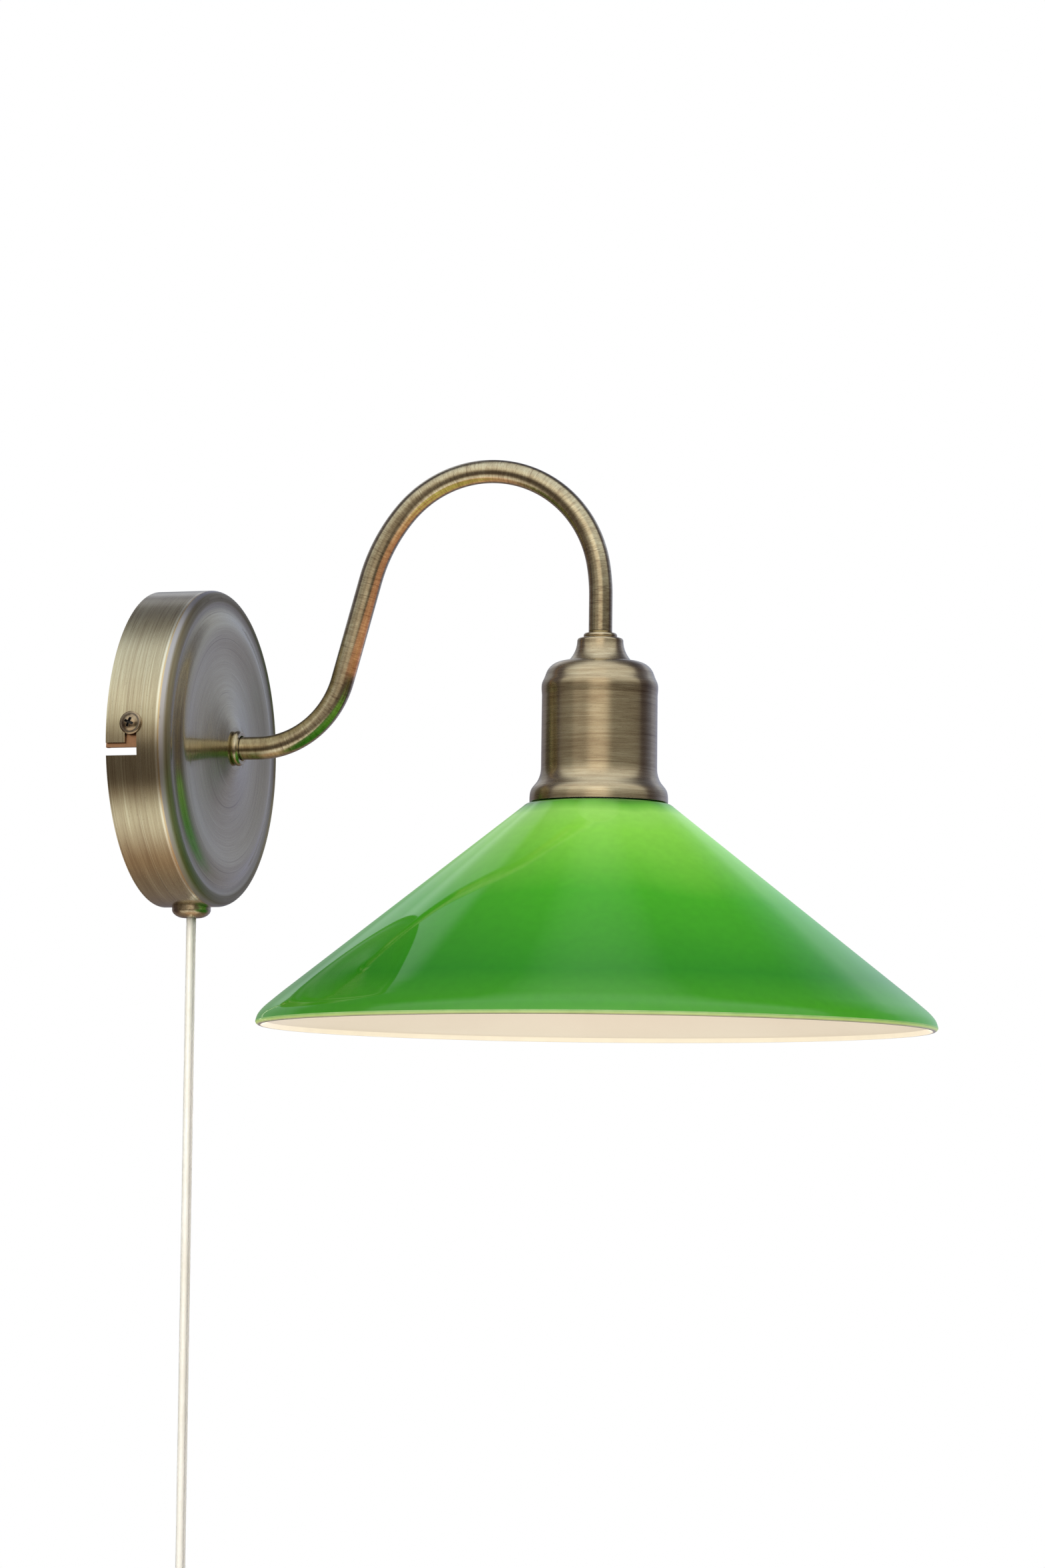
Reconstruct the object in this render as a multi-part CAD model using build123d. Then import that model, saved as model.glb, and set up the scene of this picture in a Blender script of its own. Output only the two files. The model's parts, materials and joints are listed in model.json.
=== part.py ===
from build123d import *
import os
from math import sin, cos, tan, atan2, radians, degrees, sqrt, pi

# Gooseneck wall sconce with a conical glass shade.
# Millimetres. Origin: centre of the wall bracket's back face. Y = 0 is the
# wall, the arm reaches out along -Y, +Z is up.

# ---------------------------------------------------------------- dimensions
SHADE_R = 150.0        # outer radius of the glass rim
REACH = 206.0          # wall to the shade's axis
APEX_Z = 121.9         # centreline height at the top of the gooseneck

COVER_R = 71.5         # canopy cover, outer radius
COVER_T = 0.8          # spun sheet thickness
COVER_WALL = 25.0      # straight side wall, from the wall outwards
COVER_GAP = 0.3        # rear edge to the wall plane
CREST_D = 28.8         # depth of the outer rolled edge
BOSS_D = 34.5          # depth of the centre boss

TUBE_R = 5.2           # arm tube
TUBE_BORE = 4.2
THREAD_R = 4.95        # M10 x 1 ends
THREAD_HOLE = 5.02
ARM_START = 35.9       # depth where the full tube diameter begins
R1, TURN1 = 41.0, 74.2
L2 = 46.7
R2, HEAD2 = 76.6, 48.75
R3, HEAD3 = 52.2, -80.0
R4 = 82.75
NECK_Z = 48.1          # full tube diameter ends here, on the top washer

SCREW_ANGLE = 4.11     # side screws, up from horizontal on the -X side
SCREW_D = 12.05        # their depth from the wall
SLOT_HALF = 2.75
CHANNEL_LOW, CHANNEL_HIGH = -9.1, -3.5
CHANNEL_END = 14.8

CORD_W, CORD_H = 5.8, 3.6   # flat two-core cord
CORD_Y = -14.5
GROMMET_R = 8.75

SHADE_TOP = -27.6      # top of the glass
GLASS_T = 3.5
SHADE_HOLE = 20.2
HOLDER_R = 19.6
SHELL_R = 13.3         # E27 screw shell, inside
BULB_R = 13.22         # E27 cap, outside

SWITCH_Z = -410.0      # middle of the in-line switch
SWITCH_L, SWITCH_W, SWITCH_T = 62.0, 27.0, 18.0
COIL_Z = -487.0
COIL_R = 33.0          # middle of the turns
COIL_W, COIL_H = 18.6, 11.8

os.makedirs("parts", exist_ok=True)
NODES = {}


def put(name, *solids):
    """Keep the solids of one named piece."""
    out = []
    for s in solids:
        out += list(s.solids())
    NODES[name] = out[0] if len(out) == 1 else Compound(children=out)
    return NODES[name]


# ------------------------------------------------------------------- helpers
def lathe(edges):
    """Solid of revolution about Y from edges drawn as (radius, height)."""
    return revolve(make_face(Curve() + edges), axis=Axis.Y, revolution_arc=360)


def poly(pts):
    return Polyline(*pts, close=True)


def lathe_poly(pts):
    return revolve(make_face(poly(pts)), axis=Axis.Y, revolution_arc=360)


def up(part, y=-REACH, x=0.0):
    """Turn a lathed part so that its height runs along +Z."""
    return Pos(x, y, 0) * Rot(90, 0, 0) * part


def out(pts):
    """(radius, depth) points for a part whose axis is Y, depth towards -Y."""
    return [(r, -d) for r, d in pts]


def rod(p, q, r):
    """Round bar between two points."""
    p, q = Vector(*p), Vector(*q)
    v = q - p
    return Plane(origin=p, z_dir=v) * Cylinder(
        r, v.length, align=(Align.CENTER, Align.CENTER, Align.MIN))


def block(x0, x1, y0, y1, z0, z1):
    return Pos(x0, y0, z0) * Box(x1 - x0, y1 - y0, z1 - z0,
                                 align=(Align.MIN, Align.MIN, Align.MIN))


def offset_line(pts, t):
    """Points moved t to the right of the direction of travel."""
    res = []
    for i, (x, y) in enumerate(pts):
        a = pts[max(i - 1, 0)]
        b = pts[min(i + 1, len(pts) - 1)]
        dx, dy = b[0] - a[0], b[1] - a[1]
        n = sqrt(dx * dx + dy * dy)
        res.append((x + t * dy / n, y - t * dx / n))
    return res


def stadium(w, h):
    return SlotOverall(w, h)


# ------------------------------------------------------------- wall bracket
EAR_X = 69.6
strap = block(-EAR_X, EAR_X, -1.5, 0, -10.5, 10.5)
ears = [block(-EAR_X, -EAR_X + 1.5, -19.5, 0, -10.5, 10.5),
        block(EAR_X - 1.5, EAR_X, -19.5, 0, -10.5, 10.5)]
collars = [rod((s * (EAR_X - 3.6), -SCREW_D, 0), (s * (EAR_X - 1.4), -SCREW_D, 0), 4.0)
           for s in (-1, 1)]
bracket = strap + ears[0] + ears[1] + collars[0] + collars[1]
for s in (-1, 1):
    bracket -= rod((s * (EAR_X - 6), -SCREW_D, 0), (s * (EAR_X + 3), -SCREW_D, 0), 2.5)
bracket = fillet([e for e in bracket.edges().filter_by(Axis.X)
                  if abs(e.center().Y + 19.5) < 0.2 and e.length < 2], 3.0)
# each arm is cut away on one side, so the slot beside its ear stays clear
relief = extrude(Plane.XZ * make_face(Polyline((-67.6, -12), (-67.6, -9.4), (-33.5, -3.2),
                                               (-27.0, -12), close=True)), amount=3, both=True)
bracket -= relief
bracket -= Rot(0, 180, 0) * relief
bracket = Rot(0, SCREW_ANGLE, 0) * bracket
bracket -= rod((0, 5, 0), (0, -5, 0), 7.0)
for s in (-1, 1):
    bracket -= rod((s * 30, 5, 0), (s * 30, -5, 0), 2.3)
put("wall_bracket", bracket)


# side screws: flanged pan heads with a cross recess, seated on the cover
def side_screw(sign):
    seat = COVER_R + 0.05
    head = lathe([
        Polyline((0, seat), (5.1, seat), (5.1, seat + 0.7)),
        ThreePointArc((5.1, seat + 0.7), (4.55, seat + 1.15), (3.95, seat + 1.3)),
        ThreePointArc((3.95, seat + 1.3), (2.4, seat + 2.55), (0, seat + 2.9)),
        Line((0, seat + 2.9), (0, seat)),
    ])
    shaft = lathe_poly([(0, seat - 8.0), (2.0, seat - 8.0), (2.45, seat - 7.4),
                        (2.45, seat + 0.1), (0, seat + 0.1)])
    s = head + shaft
    cross = Box(4.3, 4, 0.95) + Box(0.95, 4, 4.3)
    s -= Pos(0, seat + 3.3, 0) * cross
    s = Rot(0, 0, 90) * s                     # head towards -X
    s = Pos(0, -SCREW_D, 0) * Rot(22, 0, 0) * s
    if sign > 0:
        s = Rot(0, 180, 0) * s
    return Rot(0, SCREW_ANGLE, 0) * s


put("canopy_side_screws", side_screw(-1), side_screw(1))

# ------------------------------------------------------------- canopy cover
face_out = [(67.7, CREST_D), (66.4, 28.68), (64.8, 28.46), (63.0, 28.5), (61.0, 29.0),
            (59.0, 29.85), (57.0, 30.55), (55.0, 30.92), (52.8, 30.98), (50.0, 30.82),
            (46.0, 30.4), (41.0, 30.08), (35.0, 30.1), (29.5, 30.5), (24.5, 31.2), (19.5, 32.1),
            (15.0, 33.1), (11.8, 34.0), (10.0, BOSS_D - 0.08), (8.9, BOSS_D)]
# the inner face runs a sheet's thickness behind, down to a flat under the boss
face_in = offset_line(face_out, -COVER_T)
face_in[0] = (67.7, CREST_D - COVER_T)
face_in[-1] = (8.9, BOSS_D - COVER_T)
ARC_R = COVER_R - 67.7
q = cos(radians(45))
cover = lathe([
    Line((COVER_R, -COVER_GAP), (COVER_R, -COVER_WALL)),
    ThreePointArc((COVER_R, -COVER_WALL), (67.7 + ARC_R * q, -(COVER_WALL + ARC_R * q)),
                  (67.7, -CREST_D)),
    Spline(out(face_out), tangents=[(-1, 0.0), (-1, 0.0)]),
    Polyline((8.9, -BOSS_D), (THREAD_HOLE, -BOSS_D), (THREAD_HOLE, -(BOSS_D - COVER_T)),
             (8.9, -(BOSS_D - COVER_T))),
    Spline(out(face_in)[::-1], tangents=[(1, 0.0), (1, 0.0)]),
    ThreePointArc((67.7, -(CREST_D - COVER_T)),
                  (67.7 + (ARC_R - COVER_T) * q, -(COVER_WALL + (ARC_R - COVER_T) * q)),
                  (COVER_R - COVER_T, -COVER_WALL)),
    Polyline((COVER_R - COVER_T, -COVER_WALL), (COVER_R - COVER_T, -COVER_GAP),
             (COVER_R, -COVER_GAP)),
])
# bayonet slot: a channel in from the rear edge, then a leg up to the screw
leg_z = COVER_R * sin(radians(SCREW_ANGLE))
slot = (block(-76, -64, -CHANNEL_END, 1, CHANNEL_LOW, CHANNEL_HIGH)
        + block(-76, -64, -CHANNEL_END, -CHANNEL_END + 2 * SLOT_HALF, CHANNEL_LOW, leg_z)
        + rod((-76, -SCREW_D, leg_z), (-64, -SCREW_D, leg_z), SLOT_HALF))
cover -= slot
cover -= Rot(0, 180, 0) * slot
cover -= rod((0, CORD_Y, -60), (0, CORD_Y, -80), 5.65)
put("canopy_cover", cover)

# --------------------------------------------------- arm, collar and its nut
fwd = Plane(origin=(0, 0, 0), x_dir=(0, -1, 0), z_dir=(-1, 0, 0))


def arm_parts():
    """Straight runs and arcs of the gooseneck, local x outwards, local y up."""
    segs = [("arc", R1, TURN1), ("line", L2), ("arc", R2, HEAD2 - TURN1),
            ("arc", R3, HEAD3 - HEAD2), ("arc", R4, -90 - HEAD3)]
    x = y = h = 0.0
    for s in segs:
        if s[0] == "line":
            x += s[1] * cos(h)
            y += s[1] * sin(h)
        else:
            k = 1 if s[2] > 0 else -1
            h2 = h + radians(s[2])
            x += s[1] * k * (sin(h2) - sin(h))
            y -= s[1] * k * (cos(h2) - cos(h))
            h = h2
    return segs, x, y


SEGS, DX, DY = arm_parts()
L1 = REACH - ARM_START - DX
LAST = DY - NECK_Z
print("first straight", round(L1, 2), "last straight", round(LAST, 2))


def arm_path(first=0.0, last=0.0, off=0.0):
    """Centreline, with the first and last straights made longer."""
    p = Vector(ARM_START - first, 0, off)
    edges = []
    e = Line(p, p + Vector(L1 + first, 0, 0))
    edges.append(e)
    for s in SEGS:
        start, t = e @ 1, e % 1
        if s[0] == "line":
            e = Line(start, start + t * s[1])
        else:
            e = JernArc(start, t, s[1], s[2])
        edges.append(e)
    start, t = e @ 1, e % 1
    edges.append(Line(start, start + t * (LAST + last)))
    return fwd * Wire(edges)


apex = max((arm_path() @ (i / 400)).Z for i in range(401))
print("apex", round(apex, 2), "end", arm_path() @ 1)


def tube_along(path, r_out, r_in=0.0):
    pl = Plane(origin=path @ 0, z_dir=path % 0)
    sec = Circle(r_out) - Circle(r_in) if r_in else Circle(r_out)
    return sweep(pl * sec, path=path)


def ring_y(r_out, r_in, d0, d1):
    return lathe_poly([(r_in, -d0), (r_out, -d0), (r_out, -d1), (r_in, -d1)])


def ring_z(r_out, r_in, z0, z1):
    return up(lathe_poly([(r_in, z0), (r_out, z0), (r_out, z1), (r_in, z1)]))


arm = tube_along(arm_path(), TUBE_R, TUBE_BORE)
arm += ring_y(THREAD_R, TUBE_BORE, 25.0, ARM_START + 0.02)
arm += ring_z(THREAD_R, TUBE_BORE, 24.0, NECK_Z + 0.02)
put("arm_tube", arm)

put("arm_collar", lathe([
    Line((THREAD_HOLE, -BOSS_D), (7.2, -BOSS_D)),
    ThreePointArc((7.2, -BOSS_D), (8.0, -(BOSS_D + 1.6)), (7.2, -(BOSS_D + 3.2))),
    Polyline((7.2, -(BOSS_D + 3.2)), (5.75, -(BOSS_D + 3.2)), (5.75, -ARM_START),
             (THREAD_HOLE, -ARM_START), (THREAD_HOLE, -BOSS_D)),
]))
INNER = BOSS_D - COVER_T
put("arm_lock_washer", ring_y(8.4, THREAD_HOLE, INNER - 1.0, INNER))


def hex_nut(across, thick, bore):
    return extrude(RegularPolygon(across / 2, 6, major_radius=False), thick) - \
        Cylinder(bore, thick * 3)


NUT_D = INNER - 1.0 - 1.2 - 3.0
put("arm_lock_nut", Pos(0, -NUT_D, 0) * Rot(90, 0, 0) * hex_nut(14, 3.0, THREAD_HOLE))

# ------------------------------------- terminal carrier inside the canopy
# a bent strip held under the lock nut; its lower leg carries the terminals
TAB_TOP0, TAB_TOP1 = INNER - 2.2, INNER - 1.0
LEG0, LEG1 = 16.3, 17.5
tab_line = [(TAB_TOP1, 7.5), (TAB_TOP1, -8.6), (LEG1, -10.7), (LEG1, -65.0),
            (LEG0, -65.0), (LEG0, -9.5), (TAB_TOP0, -7.4), (TAB_TOP0, 7.5)]
tab = extrude(fwd * make_face(poly(tab_line)), 9.5, both=True)
tab -= rod((0, -20, 0), (0, -40, 0), THREAD_HOLE)
tab -= rod((0, -10, -25.0), (0, -25, -25.0), 1.5)
for s in (-1, 1):
    tab -= rod((s * 6.3, -10, -59.0), (s * 6.3, -25, -59.0), 1.5)
put("terminal_carrier", tab)

TB_Z0, TB_Z1 = -34.0, -16.0
TB_D = 9.3
body = block(-9.0, 9.0, -LEG0, -2.8, TB_Z0, TB_Z1)
body = fillet(body.edges().filter_by(Axis.Z), 1.0)
body -= block(-1.7, 1.7, -6.5, -1.0, TB_Z0 - 1, TB_Z0 + 3)
for s in (-1, 1):
    body -= rod((s * 4.9, -TB_D, TB_Z0 - 1), (s * 4.9, -TB_D, TB_Z1 + 1), 2.15)
    for z in (-30.0, -20.0):
        body -= rod((s * 4.9, 0, z), (s * 4.9, -TB_D, z), 1.4)
body -= rod((0, 0, -25.0), (0, -20, -25.0), 1.55)
body -= rod((0, 0, -25.0), (0, -5.4, -25.0), 2.6)
put("terminal_block", body)

sleeves = []
for s in (-1, 1):
    sl = rod((s * 4.9, -TB_D, TB_Z0 + 1), (s * 4.9, -TB_D, TB_Z1 - 1), 2.1) \
        - rod((s * 4.9, -TB_D, TB_Z0), (s * 4.9, -TB_D, TB_Z1), 1.25)
    for z in (-30.0, -20.0):
        sl -= rod((s * 4.9, 0, z), (s * 4.9, -TB_D, z), 1.35)
    sleeves.append(sl)
put("terminal_sleeves", *sleeves)


def small_screw(r, head_r, head_h, length, slot=0.5):
    """Cheese-head screw along +Z, underside of the head at z = 0."""
    s = Pos(0, 0, head_h / 2) * Cylinder(head_r, head_h) \
        + Pos(0, 0, -length / 2) * Cylinder(r, length)
    return s - Pos(0, 0, head_h) * Box(head_r * 3, slot, head_h)


def grub(r, length, slot=0.5):
    s = Pos(0, 0, -length / 2) * Cylinder(r, length)
    return s - Box(r * 3, slot, 1.2)


# local +Z turned towards the wall (+Y)
back = Rot(-90, 0, 0)
put("terminal_screws", *[Pos(s * 4.9, -3.6, z) * back * grub(1.3, 4.5)
                         for s in (-1, 1) for z in (-30.0, -20.0)])
put("terminal_block_screw", Pos(0, -5.38, -25.0) * back * small_screw(1.45, 2.5, 1.8, 12.0))

# cord clamp across the flat cord
clamp = block(-9.3, 9.3, -LEG0, -9.4, -63.0, -55.0)
clamp = fillet(clamp.edges().filter_by(Axis.Z).group_by(Axis.Y)[-1], 1.5)
clamp -= block(-2.95, 2.95, -LEG0 - 1, CORD_Y + CORD_H / 2 + 0.02, -64, -54)
for s in (-1, 1):
    clamp -= rod((s * 6.3, -5, -59.0), (s * 6.3, -20, -59.0), 1.55)
put("cord_clamp", clamp)
put("cord_clamp_screws", *[Pos(s * 6.3, -9.35, -59.0) * back * small_screw(1.45, 2.5, 1.8, 9.0)
                           for s in (-1, 1)])

# ------------------------------------------------- grommet and cord inside
gro = up(lathe([
    Line((0, -65.5), (5.6, -65.5)), Line((5.6, -65.5), (5.6, -70.9)),
    Line((5.6, -70.9), (GROMMET_R, -70.9)), Line((GROMMET_R, -70.9), (GROMMET_R, -73.0)),
    Spline([(GROMMET_R, -73.0), (8.3, -74.2), (6.9, -75.5), (5.0, -76.3), (3.6, -76.5)]),
    Line((3.6, -76.5), (0, -76.5)), Line((0, -76.5), (0, -65.5)),
]), y=CORD_Y)
wall_body = Rot(90, 0, 0) * Pos(0, 0, 15) * Cylinder(COVER_R + 0.02, 60)
gro = (gro - (wall_body - Pos(0, CORD_Y, -68) * Cylinder(5.6, 20)))
gro -= Pos(0, CORD_Y, -71) * extrude(stadium(CORD_W + 0.04, CORD_H + 0.04), 20, both=True)
put("cord_grommet", gro)
put("grommet_nut", Pos(0, CORD_Y, -70.2) * hex_nut(14.5, 3.0, 5.65))

put("cord_inner_end", Pos(0, CORD_Y, -73.0) * extrude(stadium(CORD_W, CORD_H), 22.0))


def strand(pts, radii, r):
    path = FilletPolyline(*pts, radius=radii)
    pl = Plane(origin=path @ 0, z_dir=path % 0)
    return sweep(pl * Circle(r), path=path)


CORE_R = 1.1
for name, s in (("supply_core_live", -1), ("supply_core_neutral", 1)):
    put(name, strand([(s * 1.45, CORD_Y, -51.0), (s * 1.45, CORD_Y, -46.5),
                      (s * 4.9, -TB_D, -39.5), (s * 4.9, -TB_D, -26.0)], [4.0, 3.5], CORE_R))


def lead(s):
    """One insulated conductor from the terminals, through the arm, to the holder."""
    run = arm_path(first=20.0, last=21.0, off=-s * 1.45)
    a, b = run @ 0, run @ 1
    p1 = FilletPolyline((s * 4.9, -TB_D, -24.5), (s * 4.9, -TB_D, -8.0),
                        (s * 1.45, -11.5, 0), (a.X, a.Y - 2.0, 0), radius=[3.5, 4.0])
    p2 = FilletPolyline((b.X, b.Y, b.Z + 2.0), (b.X, b.Y, b.Z - 3.5),
                        (s * 6.5, b.Y, b.Z - 11.0), (s * 6.5, b.Y, 11.0), radius=[3.5, 3.0])
    parts = []
    for p in (p1, run, p2):
        pl = Plane(origin=p @ 0, z_dir=p % 0)
        parts.append(sweep(pl * Circle(CORE_R), path=p))
    return parts[0] + parts[1] + parts[2]


put("lamp_wire_live", lead(-1))
put("lamp_wire_neutral", lead(1))

# ------------------------------------------------ washer, neck cap and cup
put("neck_washer", up(lathe([
    Line((THREAD_HOLE, 46.0), (6.9, 46.0)),
    ThreePointArc((6.9, 46.0), (7.42, 47.0), (6.9, 48.1)),
    Polyline((6.9, 48.1), (THREAD_HOLE, 48.1), (THREAD_HOLE, 46.0)),
])))

put("neck_cap", up(lathe([
    Line((THREAD_HOLE, 46.0), (8.9, 46.0)),
    ThreePointArc((8.9, 46.0), (9.85, 45.6), (10.2, 44.7)),
    Spline([(10.2, 44.7), (10.35, 43.0), (10.95, 40.7), (12.1, 38.3), (14.0, 35.85)]),
    Line((14.0, 35.85), (12.9, 35.85)),
    Spline([(12.9, 35.85), (11.3, 38.1), (10.2, 40.4), (9.55, 43.0), (9.4, 44.4)]),
    Line((9.4, 44.4), (8.7, 45.1)),
    Polyline((8.7, 45.1), (THREAD_HOLE, 45.1), (THREAD_HOLE, 46.0)),
])))

CUP_T = 0.9
CUP_TOP = 35.75
cup_a = [(13.5, CUP_TOP), (17.0, 35.45), (20.2, 34.4), (22.4, 32.6), (23.6, 30.7),
         (24.15, 29.2), (24.75, 27.7), (25.4, 26.3), (25.75, 24.8), (25.62, 21.0), (25.6, 17.0)]
cup_b = [(25.65, -11.0), (25.85, -14.0), (26.45, -16.2), (27.5, -18.3), (28.8, -19.9),
         (29.9, -21.5), (30.45, -23.4), (30.6, -25.2), (30.6, -27.0)]
ca = offset_line(cup_a, CUP_T)
ca[0] = (13.5, CUP_TOP - CUP_T)
ca[-1] = (25.6 - CUP_T, 17.0)
cb = offset_line(cup_b, CUP_T)
cb[0] = (25.65 - CUP_T, -11.0)
cb[-1] = (30.6 - CUP_T, -27.0)
put("socket_cup", up(lathe([
    Line((THREAD_HOLE, CUP_TOP), cup_a[0]),
    Spline(cup_a, tangents=[(1, 0), (0, -1)]),
    Line(cup_a[-1], cup_b[0]),
    Spline(cup_b, tangents=[(0, -1), (0, -1)]),
    Line(cup_b[-1], cb[-1]),
    Spline(cb[::-1], tangents=[(0, 1), (0, 1)]),
    Line(cb[0], ca[-1]),
    Spline(ca[::-1], tangents=[(0, 1), (-1, 0)]),
    Polyline(ca[0], (THREAD_HOLE, CUP_TOP - CUP_T), (THREAD_HOLE, CUP_TOP)),
])))

# --------------------------------------------------------- lamp holder, E27
HOLD_TOP = CUP_TOP - CUP_T
put("holder_cap", up(lathe_poly([
    (THREAD_HOLE, HOLD_TOP), (8.5, HOLD_TOP), (8.5, 29.0), (12.0, 27.2), (18.9, 20.4),
    (HOLDER_R, 18.6), (HOLDER_R, 10.0), (18.2, 10.0), (18.2, 18.2), (11.4, 25.0),
    (8.0, 26.6), (THREAD_HOLE, 26.6)])))

zig = []
z = -20.0
while z > -40.0:
    zig += [(HOLDER_R, z), (HOLDER_R, z - 0.6), (HOLDER_R - 0.7, z - 1.25), (HOLDER_R, z - 1.9)]
    z -= 2.5
put("holder_sleeve", up(lathe_poly(
    [(17.4, 16.0), (18.15, 16.0), (18.15, 9.95), (HOLDER_R, 9.95)] + zig
    + [(HOLDER_R, -42.0), (17.4, -42.0)])))

core = ring_z(17.35, 2.05, 6.0, 15.5)
for s in (-1, 1):
    core -= rod((s * 6.5, -REACH, 0), (s * 6.5, -REACH, 20), 1.15)
    core -= rod((s * 11.0, -REACH, 9.0), (s * 11.0, -REACH, 20), 1.5)
put("holder_core", core)
put("holder_terminal_screws", *[Pos(s * 11.0, -REACH, 15.5) * small_screw(1.45, 2.6, 1.7, 6.0)
                                for s in (-1, 1)])
put("holder_liner", ring_z(17.35, 14.1, -24.0, 5.9))
put("screw_shell", up(lathe_poly([
    (4.5, 5.9), (14.05, 5.9), (14.05, -23.0), (SHELL_R, -23.0), (SHELL_R, 5.2), (4.5, 5.2)])))
contact = rod((0, -REACH, 3.6), (0, -REACH, 14.5), 2.0) \
    + block(-2.6, 2.6, -REACH - 2.6, -REACH + 2.6, 2.9, 3.7)
put("centre_contact", contact)

# rings and gaskets that clamp the glass on the holder's thread
RING_BORE = HOLDER_R + 0.05
put("shade_ring_upper", ring_z(26.0, RING_BORE, -27.1, -23.6))
put("shade_gasket_upper", ring_z(25.5, 20.3, SHADE_TOP, -27.1))
G_LOW = SHADE_TOP - GLASS_T
put("shade_gasket_lower", ring_z(25.5, 20.3, G_LOW - 0.5, G_LOW))
ring = up(lathe_poly([
    (RING_BORE, G_LOW - 0.5), (26.5, G_LOW - 0.5), (26.5, G_LOW - 2.0), (22.9, G_LOW - 2.6),
    (22.9, G_LOW - 9.0), (RING_BORE, G_LOW - 9.0)]))
for i in range(24):
    ring -= Pos(0, -REACH, 0) * Rot(0, 0, i * 15) * Pos(23.3, 0, G_LOW - 6.4) * \
        Cylinder(0.75, 5.4)
put("shade_ring_lower", ring)

# ------------------------------------------------------------- glass shade
SL = 1.2594                       # radius gained per millimetre of drop
glass_out = [(33.6, -29.25), (66.6, -29.25 - 33.0 / SL), (105.0, -29.25 - 71.4 / SL),
             (138.0, -29.25 - 104.4 / SL)]
lip = [(138.0, glass_out[-1][1]), (142.6, -115.95), (146.4, -119.25), (148.9, -122.3),
       (150.0, -125.2)]
lip_in = offset_line(lip, GLASS_T)
L = sqrt(SL * SL + 1)
nx, nz = -1 / L, -SL / L
a0 = (33.6 + GLASS_T * nx, -29.25 + GLASS_T * nz)
a1 = (138.0 + GLASS_T * nx, glass_out[-1][1] + GLASS_T * nz)
lip_in[0] = a1
lip_in[-1] = (146.7, -126.1)
put("glass_shade", up(lathe([
    Line((SHADE_HOLE, SHADE_TOP), (30.4, SHADE_TOP)),
    Spline([(30.4, SHADE_TOP), (32.2, -28.15), (33.6, -29.25)], tangents=[(1, 0), (SL, -1)]),
    Line((33.6, -29.25), lip[0]),
    Spline(lip, tangents=[(SL, -1), (0.1, -1)]),
    ThreePointArc((150.0, -125.2), (148.45, -127.0), (146.7, -126.1)),
    Spline(lip_in[::-1], tangents=[(-0.25, 1), (-SL, 1)]),
    Line(a1, a0),
    Line(a0, (29.0, G_LOW)),
    Line((29.0, G_LOW), (SHADE_HOLE, G_LOW)),
    Line((SHADE_HOLE, G_LOW), (SHADE_HOLE, SHADE_TOP)),
])))

# -------------------------------------------------------------------- bulb
put("bulb_contact", up(lathe([
    Polyline((0, 2.75), (2.2, 2.7)), ThreePointArc((2.2, 2.7), (4.2, 2.2), (4.7, 1.4)),
    Polyline((4.7, 1.4), (0, 1.4), (0, 2.75))])))
put("bulb_insulator", up(lathe_poly([(0, 1.4), (6.0, 1.4), (9.6, -1.2), (9.6, -2.4), (0, -2.4)])))
cap = [(9.0, -2.4)]
zz = -2.4
cap += [(10.2, -2.4), (11.6, -3.0)]
for i in range(5):
    z0 = -4.0 - i * 3.3
    cap += [(12.1, z0), (BULB_R, z0 - 1.3), (BULB_R, z0 - 1.9), (12.1, z0 - 3.2)]
cap += [(12.9, -22.2), (12.9, -26.2), (12.2, -26.2), (12.2, -21.2), (11.4, -20.3),
        (11.4, -4.2), (9.0, -3.2)]
put("bulb_cap", up(lathe_poly(cap)))
globe_out = [(10.8, -18.5), (11.5, -23.0), (12.05, -27.0), (13.0, -33.0), (15.2, -41.0),
             (19.4, -49.5), (24.6, -57.5), (28.6, -66.0), (30.0, -75.5), (28.9, -85.0),
             (25.2, -93.8), (18.5, -101.2), (9.8, -105.7), (0.0, -107.0)]
globe_in = offset_line(globe_out, 0.9)
globe_in[0] = (9.9, -18.5)
globe_in[-1] = (0.0, -106.1)
put("bulb_globe", up(lathe([
    Spline(globe_out, tangents=[(0.1, -1), (-1, 0)]),
    Line((0, -107.0), (0, -106.1)),
    Spline(globe_in[::-1], tangents=[(1, 0), (-0.1, 1)]),
    Line((9.9, -18.5), (10.8, -18.5)),
])))

# ------------------------------------------------------ flat cord, outside
HALF = SWITCH_L / 2
ENTRY = 10.0
put("power_cord_upper", Pos(0, CORD_Y, SWITCH_Z + HALF - ENTRY)
    * extrude(stadium(CORD_W, CORD_H), -73.0 - (SWITCH_Z + HALF - ENTRY)))

COIL_Y = CORD_Y - (COIL_R + 3.9)
# second stretch: out of the switch, straight down into the coil's back
put("power_cord_lower", Pos(0, CORD_Y, COIL_Z + 21.0)
    * extrude(stadium(CORD_W, CORD_H), (SWITCH_Z - HALF + ENTRY) - (COIL_Z + 21.0)))
sec = RectangleRounded(COIL_H, COIL_W, 3.0)
coil_ring = revolve(Plane(origin=(0, COIL_Y + COIL_R, COIL_Z), x_dir=(0, 1, 0),
                          z_dir=(0, 0, 1)) * sec,
                    axis=Axis((0, COIL_Y, COIL_Z), (1, 0, 0)), revolution_arc=360)
put("power_cord_coil", coil_ring)
R_OUT = COIL_R + COIL_H / 2
print("coil outside diameter", round(2 * R_OUT, 1))

TAIL_Y = COIL_Y + COIL_R
PLUG_TOP = COIL_Z - 33.0
tail_line = extrude(stadium(CORD_W, CORD_H), 40.0)
tail = Pos(0, TAIL_Y, PLUG_TOP - 8.0) * tail_line
tail -= coil_ring
tail = sorted(tail.solids(), key=lambda s: s.bounding_box().min.Z)[0]
put("power_cord_tail", tail)

low = NODES["power_cord_lower"] - coil_ring
low = sorted(low.solids(), key=lambda s: -s.bounding_box().max.Z)[0]
put("power_cord_lower", low)

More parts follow.
